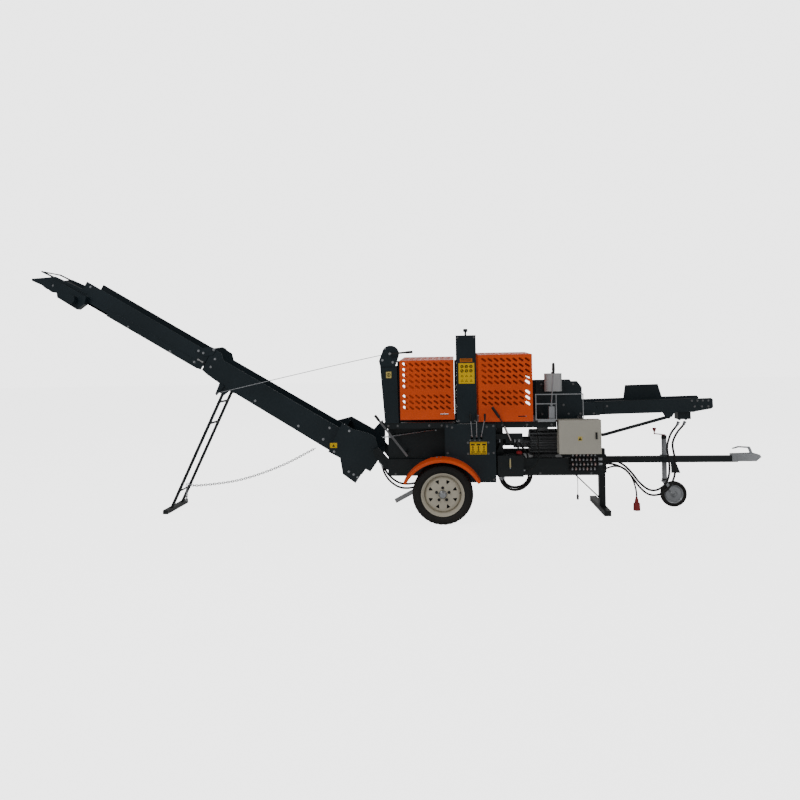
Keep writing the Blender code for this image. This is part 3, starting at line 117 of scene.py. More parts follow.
def finish(name, colour, metallic=0.0, rough=0.4, vary=0.12, grain=60.0, bump=0.08, wear=None,
           wear_at=0.55, dust=0.0, coat=0.0, stretch=(1.0, 1.0, 1.0)):
    """Procedural finish: tone drift, fine grain in roughness and bump, worn edges and dust low down."""
    material = bpy.data.materials.new(name)
    material.use_nodes = True
    nodes, links = material.node_tree.nodes, material.node_tree.links
    shader = nodes["Principled BSDF"]
    shader.inputs["Metallic"].default_value = metallic
    shader.inputs["Coat Weight"].default_value = coat
    shader.inputs["Coat Roughness"].default_value = 0.15
    shader.inputs["Specular IOR Level"].default_value = 0.28

    def add(kind, **sockets):
        made = nodes.new(kind)
        for key, value in sockets.items():
            made.inputs[key.replace("_", " ")].default_value = value
        return made

    def mixed(factor, a, b):
        mix = nodes.new("ShaderNodeMix")
        mix.data_type = "RGBA"
        for index, value in ((0, factor), (6, a), (7, b)):
            if isinstance(value, bpy.types.NodeSocket):
                links.new(value, mix.inputs[index])
            else:
                mix.inputs[index].default_value = value
        return mix.outputs[2]

    def ranged(value, low, high, to_low, to_high):
        node = add("ShaderNodeMapRange", From_Min=low, From_Max=high, To_Min=to_low, To_Max=to_high)
        links.new(value, node.inputs["Value"])
        return node.outputs["Result"]

    spot = nodes.new("ShaderNodeTexCoord")
    mapping = add("ShaderNodeMapping", Scale=stretch)
    links.new(spot.outputs["Object"], mapping.inputs["Vector"])
    drift = add("ShaderNodeTexNoise", Scale=2.3, Detail=5.0, Roughness=0.6)
    fine = add("ShaderNodeTexNoise", Scale=grain, Detail=4.0, Roughness=0.55)
    links.new(spot.outputs["Object"], drift.inputs["Vector"])
    links.new(mapping.outputs["Vector"], fine.inputs["Vector"])
    dark = (*[c * (1 - vary) for c in colour], 1.0)
    light = (*[min(1.0, c * (1 + vary)) for c in colour], 1.0)
    tone = mixed(ranged(drift.outputs["Fac"], 0.35, 0.65, 0.0, 1.0), dark, light)
    roughness = ranged(fine.outputs["Fac"], 0.3, 0.7, max(0.04, rough - 0.07), min(1.0, rough + 0.09))
    if dust:
        split = nodes.new("ShaderNodeSeparateXYZ")
        links.new(spot.outputs["Object"], split.inputs[0])
        speck = nodes.new("ShaderNodeMath")
        speck.operation = "MULTIPLY"
        links.new(ranged(split.outputs["Z"], 0.0, 0.6, dust, 0.02), speck.inputs[0])
        links.new(drift.outputs["Fac"], speck.inputs[1])
        tone = mixed(speck.outputs[0], tone, (0.30, 0.26, 0.21, 1.0))
    if wear:
        edge = add("ShaderNodeBevel", Radius=0.004)
        edge.samples = 4
        flat = nodes.new("ShaderNodeNewGeometry")
        dot = nodes.new("ShaderNodeVectorMath")
        dot.operation = "DOT_PRODUCT"
        links.new(edge.outputs["Normal"], dot.inputs[0])
        links.new(flat.outputs["Normal"], dot.inputs[1])
        rubbed = nodes.new("ShaderNodeMath")
        rubbed.operation = "MULTIPLY"
        patch = add("ShaderNodeTexNoise", Scale=22.0, Detail=5.0, Roughness=0.7)
        links.new(spot.outputs["Object"], patch.inputs["Vector"])
        links.new(ranged(dot.outputs["Value"], 0.98, 0.80, 0.0, 1.0), rubbed.inputs[0])
        links.new(ranged(patch.outputs["Fac"], wear_at, wear_at + 0.12, 0.0, 0.75), rubbed.inputs[1])
        tone = mixed(rubbed.outputs[0], tone, (*wear, 1.0))
    height = add("ShaderNodeBump", Strength=bump, Distance=0.002)
    links.new(fine.outputs["Fac"], height.inputs["Height"])
    links.new(tone, shader.inputs["Base Color"])
    links.new(roughness, shader.inputs["Roughness"])
    links.new(height.outputs["Normal"], shader.inputs["Normal"])
    return material


STEEL_RUB = (0.30, 0.30, 0.30)
# name, colour, metallic, roughness, tone drift, grain, bump, rubbed colour and its limit, dust, coat
FINISHES = {row[0]: finish(*row) for row in (
    ("black_paint", (0.0050, 0.0098, 0.0125), 0.0, 0.38, 0.22, 240.0, 0.05,
     STEEL_RUB, 0.63, 0.08, 0.10),
    ("slate_paint", (0.0070, 0.0155, 0.0215), 0.0, 0.38, 0.16, 240.0, 0.05,
     STEEL_RUB, 0.64, 0.06, 0.10),
    ("orange_paint", (0.760, 0.078, 0.008), 0.0, 0.40, 0.09, 260.0, 0.06,
     (0.34, 0.10, 0.04), 0.62, 0.05, 0.1),
    ("cream_paint", (0.560, 0.520, 0.420), 0.0, 0.38, 0.06, 220.0, 0.05,
     (0.30, 0.26, 0.20), 0.60, 0.20),
    ("beige_paint", (0.470, 0.450, 0.385), 0.0, 0.42, 0.05, 420.0, 0.14,
     (0.25, 0.24, 0.22), 0.64, 0.10),
    ("grey_paint", (0.330, 0.345, 0.360), 0.2, 0.40, 0.10, 200.0, 0.06,
     (0.16, 0.15, 0.14), 0.58, 0.35),
    ("zinc", (0.400, 0.415, 0.435), 0.92, 0.36, 0.16, 46.0, 0.10,
     (0.62, 0.62, 0.63), 0.58, 0.08),
    ("bright_steel", (0.560, 0.560, 0.560), 1.0, 0.26, 0.12, 90.0, 0.10,
     (0.80, 0.80, 0.80), 0.50, 0.0, 0.0, (1.0, 1.0, 14.0)),
    ("cast_iron", (0.200, 0.210, 0.220), 0.40, 0.45, 0.20, 330.0, 0.30,
     STEEL_RUB, 0.60, 0.25),
    ("rubber", (0.0070, 0.0072, 0.0080), 0.0, 0.50, 0.25, 300.0, 0.12,
     None, 0.55, 0.05),
    ("belt", (0.0240, 0.0250, 0.0265), 0.0, 0.72, 0.22, 160.0, 0.35,
     (0.07, 0.06, 0.05), 0.57, 0.04),
    ("tyre", (0.0085, 0.0087, 0.0092), 0.0, 0.70, 0.25, 120.0, 0.25,
     (0.030, 0.028, 0.026), 0.56, 0.10),
    ("red_plastic", (0.290, 0.018, 0.022), 0.0, 0.36, 0.12, 260.0, 0.08,
     (0.40, 0.10, 0.09), 0.60, 0.12),
    ("black_plastic", (0.0130, 0.0132, 0.0140), 0.0, 0.42, 0.18, 380.0, 0.14,
     (0.06, 0.06, 0.06), 0.58, 0.10),
    ("grey_plastic", (0.430, 0.435, 0.440), 0.0, 0.34, 0.05, 150.0, 0.05,
     (0.60, 0.60, 0.60), 0.62, 0.05, 0.2),
)}
YELLOW = finish("yellow_plate", (0.800, 0.500, 0.002), 0.0, 0.32, 0.05, 200.0, 0.04, (0.30, 0.22, 0.10), 0.62)
AMBER = finish("amber_plate", (0.560, 0.150, 0.010), 0.0, 0.34, 0.06, 200.0, 0.04, (0.25, 0.12, 0.05), 0.62)
INK = finish("black_ink", (0.0040, 0.0040, 0.0045), 0.0, 0.38, 0.10, 240.0, 0.03)
CREAM_PLATE = finish("cream_plate", (0.600, 0.480, 0.140), 0.0, 0.36, 0.05, 200.0, 0.04)
GLASS = finish("gauge_glass", (0.560, 0.470, 0.220), 0.0, 0.12, 0.12, 120.0, 0.03, coat=0.6)
DULL_STEEL = finish("dull_steel", (0.170, 0.172, 0.178), 0.75, 0.48, 0.16, 90.0, 0.08)
DARK_STEEL = finish("dark_steel", (0.022, 0.022, 0.024), 0.50, 0.50, 0.16, 90.0, 0.08)
ROSE_STEEL = finish("rose_steel", (0.560, 0.420, 0.400), 0.85, 0.34, 0.12, 90.0, 0.08)

for part in frame["record"]["subparts"]:
    shown = NODES[part["node"]]
    shown.data.materials.clear()
    shown.data.materials.append(FINISHES[part["material_slot"]])

floor_finish = finish("floor", (0.86, 0.86, 0.86), 0.0, 0.65, 0.02, 30.0, 0.02)
floor_shader = floor_finish.node_tree.nodes["Principled BSDF"]
floor_shader.inputs["Emission Color"].default_value = (1.0, 1.0, 1.0, 1.0)
seen_level(floor_finish.node_tree, floor_shader.inputs["Emission Strength"], 0.0, 3.0)
bpy.ops.mesh.primitive_plane_add(size=60.0, location=(0.0, 0.0, -0.001))
floor = bpy.context.object
floor.name = "floor"
floor.data.materials.append(floor_finish)


# ---------------------------------------------------------------- solids
# A solid is a pair: its corner points and its faces.

BOLT_RADIUS, BOLT_HEIGHT = 0.0075, 0.0070


def prism(outline, low, high, axis="Y"):
    """Straight solid over an outline. Outline pairs are (x, z), (y, z) or (x, y)."""
    place = {"Y": lambda a, b, t: (a, t, b), "X": lambda a, b, t: (t, a, b),
             "Z": lambda a, b, t: (a, b, t)}[axis]
    count = len(outline)
    points = [place(a, b, t) for t in (low, high) for a, b in outline]
    faces = [list(range(count)), list(range(count, 2 * count))]
    faces += [[i, (i + 1) % count, count + (i + 1) % count, count + i] for i in range(count)]
    return points, faces


def block(x0, x1, y0, y1, z0, z1):
    return prism([(x0, z0), (x1, z0), (x1, z1), (x0, z1)], y0, y1)


def circle(x, z, radius, sides=32, start=0.0, sweep=2 * pi):
    steps = sides if abs(sweep) > 2 * pi - 1e-6 else sides + 1
    return [(x + radius * cos(start + sweep * i / sides), z + radius * sin(start + sweep * i / sides))
            for i in range(steps)]


def disc(x, z, radius, low, high, axis="Y", sides=32):
    return prism(circle(x, z, radius, sides), low, high, axis)


def capsule(a, b, radius, sides=8):
    turn = atan2(b[1] - a[1], b[0] - a[0])
    return (circle(b[0], b[1], radius, sides, turn - pi / 2, pi)
            + circle(a[0], a[1], radius, sides, turn + pi / 2, pi))


def turned(profile, x, y, z, axis="Y", sides=48):
    """Solid of revolution. Profile pairs are (radius, distance along the axis)."""
    place = {"Y": lambda u, v, t: (x + u, y + t, z + v), "X": lambda u, v, t: (x + t, y + u, z + v),
             "Z": lambda u, v, t: (x + u, y + v, z + t)}[axis]
    points, rings = [], []
    for radius, along in profile:
        if radius < 1e-6:
            rings.append([len(points)])
            points.append(place(0.0, 0.0, along))
            continue
        rings.append(list(range(len(points), len(points) + sides)))
        points += [place(radius * cos(2 * pi * i / sides), radius * sin(2 * pi * i / sides), along)
                   for i in range(sides)]
    pairs = list(zip(rings, rings[1:]))
    if len(rings[0]) > 1:
        pairs.append((rings[-1], rings[0]))
    faces = []
    for a, b in pairs:
        for i in range(sides):
            j = (i + 1) % sides
            corners = [a[i % len(a)], a[j % len(a)], b[j % len(b)], b[i % len(b)]]
            corners = list(dict.fromkeys(corners))
            if len(corners) > 2:
                faces.append(corners)
    return points, faces


def rod(route, radius, sides=14, closed=False):
    """Round bar along a route of points, with flat ends or closed in a ring."""
    route = [Vector(p) for p in route]
    count = len(route)
    points, faces = [], []
    side = None
    for i, spot in enumerate(route):
        if closed:
            ahead = (route[(i + 1) % count] - route[i - 1]).normalized()
        else:
            ahead = (route[min(i + 1, count - 1)] - route[max(i - 1, 0)]).normalized()
        if side is None:
            side = ahead.orthogonal().normalized()
        side = (side - ahead * side.dot(ahead)).normalized()
        other = ahead.cross(side)
        for k in range(sides):
            angle = 2 * pi * k / sides
            points.append(tuple(spot + radius * (cos(angle) * side + sin(angle) * other)))
    for i in range(count if closed else count - 1):
        j = (i + 1) % count
        for k in range(sides):
            n = (k + 1) % sides
            faces.append([i * sides + k, i * sides + n, j * sides + n, j * sides + k])
    if not closed:
        faces.append(list(range(sides)))
        faces.append(list(range((count - 1) * sides, count * sides)))
    return points, faces


def hexagon(x, y, z, axis, radius=BOLT_RADIUS, height=BOLT_HEIGHT):
    """Bolt head with its washer, standing off a face along an axis such as '-Y'."""
    sign = -1 if axis[0] == "-" else 1
    name = axis[-1]
    a, b = {"X": (y, z), "Y": (x, z), "Z": (x, y)}[name]
    base = {"X": x, "Y": y, "Z": z}[name]
    washer = sorted((base - sign * 0.0005, base + sign * 0.0018))
    head = sorted((base + sign * 0.0015, base + sign * height))
    return [disc(a, b, radius * 1.45, *washer, axis=name, sides=20),
            disc(a, b, radius, *head, axis=name, sides=6)]


def bolt_pair(x, half, z, radius=BOLT_RADIUS, height=BOLT_HEIGHT):
    """Bolt heads on the near and the far face, which stand at -half and +half."""
    return hexagon(x, -half, z, "-Y", radius, height) + hexagon(x, half, z, "Y", radius, height)


def smooth_route(stops, step):
    """Even points along a smooth curve through the stops."""
    stops = [Vector(p) for p in stops]
    ends = [2 * stops[0] - stops[1]] + stops + [2 * stops[-1] - stops[-2]]
    fine = []
    for a, b, c, d in zip(ends, ends[1:], ends[2:], ends[3:]):
        for i in range(24):
            t = i / 24
            fine.append(0.5 * (2 * b + (c - a) * t + (2 * a - 5 * b + 4 * c - d) * t * t
                               + (3 * b - a - 3 * c + d) * t ** 3))
    fine.append(stops[-1])
    lengths = [0.0]
    for a, b in zip(fine, fine[1:]):
        lengths.append(lengths[-1] + (b - a).length)
    count = max(3, round(lengths[-1] / step))
    even, k = [], 0
    for i in range(count + 1):
        want = lengths[-1] * i / count
        while k < len(fine) - 2 and lengths[k + 1] < want:
            k += 1
        share = (want - lengths[k]) / max(lengths[k + 1] - lengths[k], 1e-9)
        even.append(fine[k].lerp(fine[k + 1], min(share, 1.0)))
    return even


def length_of(route):
    return sum((b - a).length for a, b in zip(route, route[1:]))


# ---------------------------------------------------------------- pieces

def shape(name, solids):
    """One object from several closed solids, with outward faces."""
    points, faces = [], []
    for more, around in solids:
        shift = len(points)
        points += [Vector(p) for p in more]
        faces += [[i + shift for i in face] for face in around]
    mesh = bpy.data.meshes.new(name)
    mesh.from_pydata(points, [], faces)
    work = bmesh.new()
    work.from_mesh(mesh)
    bmesh.ops.recalc_face_normals(work, faces=work.faces)
    work.to_mesh(mesh)
    work.free()
    thing = bpy.data.objects.new(name, mesh)
    bpy.context.scene.collection.objects.link(thing)
    return thing


def soften(thing, width, angle=35.0):
    """Round the edges and shade smoothly over shallow angles."""
    if width:
        bevel = thing.modifiers.new("edges", "BEVEL")
        bevel.width = width
        bevel.segments = 2
        bevel.limit_method = "ANGLE"
        bevel.angle_limit = radians(angle)
        bevel.harden_normals = False
    thing.data.shade_smooth()
    thing.data.set_sharp_from_angle(angle=radians(angle))


def dress(thing, body, slot, material=None, replaces=(), bend=None):
    """Give an object its finish (from its slot when no material is given) and its body; with a bend given it
    is only baked in place and the bend's bodies are not used.
    """
    thing.data.materials.clear()
    thing.data.materials.append(material or FINISHES[slot])
    if bend:
        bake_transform(thing)
    else:
        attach(thing, body)
    if replaces:
        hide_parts(*replaces)
    return thing


def piece(name, body, slot, solids, width=0.0, material=None, replaces=(), angle=35.0):
    thing = shape(name, solids)
    soften(thing, width, angle=angle)
    return dress(thing, body, slot, material, replaces)


def cut(thing, tools):
    """Take solids out of an object and keep the result as its mesh."""
    made = []
    for tool in tools:
        other = shape("tool", [tool])
        step = thing.modifiers.new("cut", "BOOLEAN")
        step.operation = "DIFFERENCE"
        step.solver = "EXACT"
        step.object = other
        made.append(other)
    bpy.context.view_layer.update()
    mesh = bpy.data.meshes.new_from_object(thing.evaluated_get(bpy.context.evaluated_depsgraph_get()))
    thing.modifiers.clear()
    thing.data = mesh
    for other in made:
        bpy.data.objects.remove(other, do_unlink=True)
    return thing


# ---------------------------------------------------------------- perforated guards

def perforated(name, body, replaced, panels, thickness):
    """Folded sheet from flat panels (corner, across, up, outline, holes), given a real thickness."""
    work = bmesh.new()
    for corner, across, up, outline, holes in panels:
        corner, across, up = Vector(corner), Vector(across), Vector(up)
        edges = []
        for loop in [outline] + holes:
            around = [work.verts.new(corner + a * across + b * up) for a, b in loop]
            edges += [work.edges.new((v, w)) for v, w in zip(around, around[1:] + around[:1])]
        bmesh.ops.triangle_fill(work, use_beauty=True, edges=edges, normal=across.cross(up))
    bmesh.ops.remove_doubles(work, verts=work.verts, dist=1e-5)
    bmesh.ops.recalc_face_normals(work, faces=work.faces)
    mesh = bpy.data.meshes.new(name)
    work.to_mesh(mesh)
    work.free()
    thing = bpy.data.objects.new(name, mesh)
    bpy.context.scene.collection.objects.link(thing)
    solid = thing.modifiers.new("sheet", "SOLIDIFY")
    solid.thickness = thickness
    solid.offset = 0.0
    return dress(thing, body, "orange_paint", replaces=[replaced])


SLOT_RUN, SLOT_RISE, SLOT_HALF = 0.0140, 0.0098, 0.0094
SLOT_PITCH = 0.057
ROW_STEPS = (0.0, 0.052, 0.104, 0.156, 0.208, 0.300, 0.352, 0.404)


def slot_hole(a, b):
    """Round-ended slot that runs down to the right."""
    return capsule((a - SLOT_RUN, b + SLOT_RISE), (a + SLOT_RUN, b - SLOT_RISE), SLOT_HALF, 6)


def slot_grid(first, count, top, steps):
    return [slot_hole(first + SLOT_PITCH * i, top - down) for i in range(count) for down in steps]


def guard(side, first, columns, top_row, handle):
    """Sheet cover with slotted walls and top, its edge lips, hinges and handle hole."""
    node = "guard_" + side
    (x0, y0, z0), (x1, y1, top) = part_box(node)
    width, depth = x1 - x0, y1 - y0
    near = top - (0.027 if side == "left" else 0.018)
    t = 0.0030
    x0, x1, y0, y1 = x0 + t / 2, x1 - t / 2, y0 + t / 2, y1 - t / 2
    near, top = near - t / 2, top - t / 2
    width, depth = x1 - x0, y1 - y0
    tall, tall_far, slant = near - z0, top - z0, hypot(depth, top - near)
    rect = [(0, 0), (width, 0), (width, tall), (0, tall)]
    front = slot_grid(first, columns, tall - top_row, ROW_STEPS)
    front.append(capsule((handle - 0.035, 0.048), (handle + 0.035, 0.048), 0.005, 6))
    roof = slot_grid(first, columns, slant - 0.07, [0.052 * k for k in range(11)])
    panels = [((x0, y0, z0), (1, 0, 0), (0, 0, 1), rect, front),
              ((x0, y0, near), (1, 0, 0), (0, depth / slant, (top - near) / slant),
               [(0, 0), (width, 0), (width, slant), (0, slant)], roof),
              ((x0, y1, z0), (1, 0, 0), (0, 0, 1),
               [(0, 0), (width, 0), (width, tall_far), (0, tall_far)], [])]
    if side == "right":
        # the end wall leaves the log's way in open
        back = depth - 0.02
        wall = [(0, 0), (0.23 - t, 0), (0.23 - t, 0.40), (back, 0.40), (back, 0), (depth, 0),
                (depth, tall_far), (0, tall)]
        panels.append(((x1, y0, z0), (0, 1, 0), (0, 0, 1), wall,
                       slot_grid(0.06, 3, tall - top_row, ROW_STEPS)))
    perforated(node + "_sheet", "guard_" + side, node, panels, t)
    hinges = []
    for x in (x0 + 0.06, x1 - 0.06):
        hinges += [rod([(x - 0.03, y1 + 0.0005, z0 + 0.0075), (x + 0.03, y1 + 0.0005, z0 + 0.0075)], 0.0025),
                   block(x - 0.028, x + 0.028, y1 + 0.0010, y1 + 0.0030, z0 + 0.010, z0 + 0.048)]
        hinges += hexagon(x - 0.015, y1 + 0.003, z0 + 0.036, "Y", 0.005, 0.005)
        hinges += hexagon(x + 0.015, y1 + 0.003, z0 + 0.036, "Y", 0.005, 0.005)
    piece(node + "_hinges", "guard_" + side, "zinc", hinges)
    # folded stiffening lips inside the open edges
    lips = [block(x0 + 0.002, x1 - 0.002, y0 + 0.002, y0 + 0.018, z0 + 0.0005, z0 + 0.003)]
    if side == "left":
        lips += [block(x0 + 0.001, x0 + 0.004, y0 + 0.002, y0 + 0.016, z0 + 0.004, near - 0.003)]
    piece(node + "_lips", "guard_" + side, "orange_paint", lips)


guard("left", 0.050, 8, 0.038, 0.41)
guard("right", 0.055, 8, 0.048, 0.40)

# ---------------------------------------------------------------- road wheels

WHEEL_X, WHEEL_Y, WHEEL_Z = 0.55, 0.635, 0.275
TYRE_SIDES = 144


def tyre_shape(side):
    """Tyre with four tread grooves, shoulder lugs and sidewall rings."""
    wall = [(0.189, 0.064), (0.193, 0.071), (0.200, 0.0745), (0.203, 0.0765), (0.206, 0.0765),
            (0.209, 0.0785), (0.222, 0.0840), (0.232, 0.0850), (0.240, 0.0845), (0.2420, 0.0858),
            (0.2450, 0.0856),
            (0.2470, 0.0830), (0.257, 0.0800), (0.2640, 0.0745), (0.2690, 0.0665), (0.2730, 0.0580)]
    tread = []
    for edge in (0.046, 0.017):
        tread += [(0.2742, edge + 0.0045), (0.2680, edge + 0.0030), (0.2680, edge - 0.0030),
                  (0.2744, edge - 0.0045)]
    right = wall + [(0.2735, 0.056)] + tread
    profile = [(r, -t) for r, t in right] + [(r, t) for r, t in reversed(right)]
    points, faces = turned(profile, WHEEL_X, side * WHEEL_Y, WHEEL_Z, sides=TYRE_SIDES)
    # shoulder lugs: every fourth strip of the outer tread is pressed in a little
    shaped = []
    for index, (x, y, z) in enumerate(points):
        ring, step = divmod(index, TYRE_SIDES)
        radius, across = profile[ring]
        if abs(across) > 0.045 and radius > 0.262 and step % 4 == 0:
            pull = (radius - 0.0055) / radius
            x, z = WHEEL_X + (x - WHEEL_X) * pull, WHEEL_Z + (z - WHEEL_Z) * pull
        shaped.append((x, y, z))
    return shaped, faces


def wheel(name, side):
    body = "wheel_" + name
    piece("tyre_%s_tread" % name, body, "tyre", [tyre_shape(side)], replaces=["tyre_" + name], angle=30.0)
    y = side * WHEEL_Y
    barrel = [(0.1880, 0.0680), (0.1925, 0.0745), (0.1955, 0.0790), (0.1950, 0.0815), (0.1915, 0.0810),
              (0.1830, 0.0740), (0.1790, 0.0660), (0.1700, 0.0560), (0.1670, 0.0300), (0.1670, -0.0650),
              (0.1800, -0.0720), (0.1900, -0.0790), (0.1930, -0.0780), (0.1880, -0.0690), (0.1800, -0.0620),
              (0.1705, -0.0550), (0.1705, 0.0250), (0.1760, 0.0560), (0.1870, 0.0640)]
    face = [(0.1690, 0.0150), (0.1560, 0.0330), (0.1480, 0.0400), (0.1250, 0.0415), (0.0850, 0.0440),
            (0.0600, 0.0480), (0.0450, 0.0490), (0.0420, 0.0530), (0.0380, 0.0535), (0.0380, 0.0440),
            (0.0600, 0.0425), (0.0850, 0.0385), (0.1250, 0.0360), (0.1460, 0.0345), (0.1530, 0.0280),
            (0.1655, 0.0120)]
    disc_part = shape("rim_%s_disc" % name, [turned([(r, side * t) for r, t in face], WHEEL_X, y, WHEEL_Z,
                                                    sides=96)])
    windows = []
    for k in range(8):
        turn = 2 * pi * (k + 0.5) / 8
        corners = []
        for radius, angle, start in ((0.1290, 0.100, 0.9), (0.1290, -0.100, -0.9), (0.1020, 0.0, pi)):
            a, b = WHEEL_X + radius * cos(turn + angle), WHEEL_Z + radius * sin(turn + angle)
            corners += circle(a, b, 0.0040, 4, turn + start - 0.9, 1.8)
        order = sorted(corners, key=lambda p: atan2(p[1] - WHEEL_Z - 0.118 * sin(turn),
                                                    p[0] - WHEEL_X - 0.118 * cos(turn)))
        windows.append(prism(order, *sorted((y, y + side * 0.07))))
    cut(disc_part, windows)
    soften(disc_part, 0.0, angle=40.0)
    dress(disc_part, body, "cream_paint", replaces=["rim_" + name])
    piece("rim_%s_barrel" % name, body, "cream_paint",
          [turned([(r, side * t) for r, t in barrel], WHEEL_X, y, WHEEL_Z, sides=96)])
    # hub, grease cap and wheel nuts
    hub = [(0.0, -0.045), (0.036, -0.045), (0.036, 0.050), (0.0330, 0.0640), (0.0280, 0.0680),
           (0.0275, 0.0830), (0.0250, 0.0900), (0.0160, 0.0940), (0.0, 0.0950)]
    piece("hub_" + name, body, "zinc", [turned([(r, side * t) for r, t in hub], WHEEL_X, y, WHEEL_Z)])
    nuts = []
    for k in range(5):
        a = 2 * pi * k / 5 + pi / 2
        nuts += hexagon(WHEEL_X + 0.0590 * cos(a), y + side * 0.0475, WHEEL_Z + 0.0590 * sin(a),
                        "Y" if side > 0 else "-Y", 0.0095, 0.015)
        nuts += [disc(WHEEL_X + 0.0590 * cos(a), WHEEL_Z + 0.0590 * sin(a), 0.0055,
                      *sorted((y + side * 0.060, y + side * 0.068)), sides=16)]
    piece("wheel_nuts_" + name, body, "zinc", nuts, 0.0006, DARK_STEEL)
    # painted shade: the added drum gets a near-black finish so the rim windows show the dark of the wheel's
    # inside
    drum = [(0.037, -0.030), (0.150, -0.030), (0.150, 0.010), (0.037, 0.010)]
    piece("brake_drum_painted_shade_" + name, body, "cast_iron",
          [turned([(r, side * t) for r, t in drum], WHEEL_X, y, WHEEL_Z)], 0.002, DARK_STEEL)
    piece("tyre_valve_" + name, body, "black_plastic",
          [rod([(WHEEL_X + 0.160, y + side * 0.030, WHEEL_Z + 0.012),
                (WHEEL_X + 0.154, y + side * 0.062, WHEEL_Z + 0.012)], 0.0042)])


wheel("near", -1)
wheel("far", 1)


def fender(name, side):
    """Smooth pressed arch with a rolled outer lip, on its bracket."""
    centre, outer = (0.545, 0.208), 0.392
    section = [(outer, 0.56), (outer, 0.752), (outer - 0.0025, 0.7575), (outer - 0.008, 0.760),
               (outer - 0.026, 0.760), (outer - 0.028, 0.7585), (outer - 0.028, 0.7555),
               (outer - 0.026, 0.7545), (outer - 0.009, 0.7545), (outer - 0.005, 0.751),
               (outer - 0.004, 0.56)]
    points, count, steps = [], len(section), 56
    for i in range(steps + 1):
        angle = radians(28) + radians(124) * i / steps
        points += [(centre[0] + r * cos(angle), side * y, centre[1] + r * sin(angle)) for r, y in section]
    faces = [[i * count + k, i * count + (k + 1) % count, (i + 1) * count + (k + 1) % count,
              (i + 1) * count + k] for i in range(steps) for k in range(count)]
    faces += [list(range(count)), list(range(steps * count, (steps + 1) * count))]
    low, high = sorted((side * 0.575, side * 0.317))
    tab = sorted((side * 0.563, side * 0.579))
    bracket = [block(0.44, 0.50, low, high, 0.5456, 0.554), block(0.441, 0.499, *tab, 0.547, 0.592)]
    piece("fender_%s_arch" % name, "chassis", "orange_paint", [(points, faces)] + bracket,
          replaces=["fender_" + name], angle=30.0)
    bolts = []
    for x in (0.452, 0.488):
        bolts += hexagon(x, side * 0.40, 0.554, "Z", 0.007, 0.008)
        bolts += hexagon(x + 0.05, side * 0.62, 0.5960 if x < 0.47 else 0.5980, "Z", 0.007, 0.010)
    piece("fender_%s_bolts" % name, "chassis", "zinc", bolts, 0.0004)


fender("near", -1)
fender("far", 1)

# ---------------------------------------------------------------- cords, hoses, cable and chain

def line(name, slot, stops, radius, bend=None,
         replaces=(), sides=12, step=0.02):
    """A hose or cable of one length along a smooth route, attached to the chassis, or only baked in place
    where a bend is given.
    """
    route = smooth_route(stops, step)
    thing = shape(name, [rod(route, radius, sides)])
    thing.data.shade_smooth()
    thing.data.set_sharp_from_angle(angle=radians(50))
    dress(thing, "chassis", slot, None, replaces, bend)
    return route


def sleeve(centre, ahead, inner, profile, sides=24):
    """Ring of (radius, distance) pairs round a line, such as a ferrule or a cable gland."""
    ahead = Vector(ahead).normalized()
    side = ahead.orthogonal().normalized()
    other = ahead.cross(side)
    points, faces = [], []
    loop = [(inner, profile[0][1])] + list(profile) + [(inner, profile[-1][1])]
    for radius, along in loop:
        for k in range(sides):
            a = 2 * pi * k / sides
            points.append(tuple(Vector(centre) + along * ahead + radius * (cos(a) * side + sin(a) * other)))
    rings = len(loop)
    for i in range(rings):
        j = (i + 1) % rings
        for k in range(sides):
            n = (k + 1) % sides
            faces.append([i * sides + k, i * sides + n, j * sides + n, j * sides + k])
    return points, faces


def ferrules(name, ends, radius, body="chassis"):
    """Crimped hose ends with their union nuts, at (point, direction into the hose)."""
    solids = []
    for spot, ahead in ends:
        solids.append(sleeve(spot, ahead, radius * 1.02,
                             [(radius * 1.30, 0.004), (radius * 1.36, 0.008), (radius * 1.28, 0.012),
                              (radius * 1.36, 0.016), (radius * 1.28, 0.020), (radius * 1.36, 0.024),
                              (radius * 1.22, 0.032)]))
        solids.append(sleeve(spot, ahead, radius * 1.02, [(radius * 1.55, -0.004), (radius * 1.55, 0.0035)],
                             sides=6))
    piece(name, body, "zinc", solids)


def ends_of(route):
    return [(route[0], route[1] - route[0]), (route[-1], route[-2] - route[-1])]


PLUG_X, PLUG_Y = 2.400, -0.12
line("power_cable", "rubber",
     [(2.0465, -0.25, 0.425), (2.080, -0.245, 0.427), (2.180, -0.19, 0.440), (2.285, -0.14, 0.410),
      (2.352, -0.125, 0.330), (2.388, PLUG_Y, 0.235), (PLUG_X, PLUG_Y, 0.165), (PLUG_X, PLUG_Y, 0.1315)],
     0.008, replaces=["power_lead"])
piece("power_gland", "chassis", "black_plastic",
      [sleeve((2.0447, -0.25, 0.425), (1.0, 0.04, 0.02), 0.0082,
              [(0.0150, 0.0), (0.0150, 0.012), (0.0125, 0.014), (0.0115, 0.030), (0.0095, 0.042)])])

line("winch_rope", "zinc",
     [(0.020, -0.43, 1.545), (-0.60, -0.341, 1.420), (-1.6920, -0.1985, 1.1857)], 0.0035,
     bend=("chassis", "conveyor_lower", (-0.10, -0.41, 1.53), (-1.60, -0.21, 1.20)),
     replaces=["winch_cable"], sides=8, step=0.04)

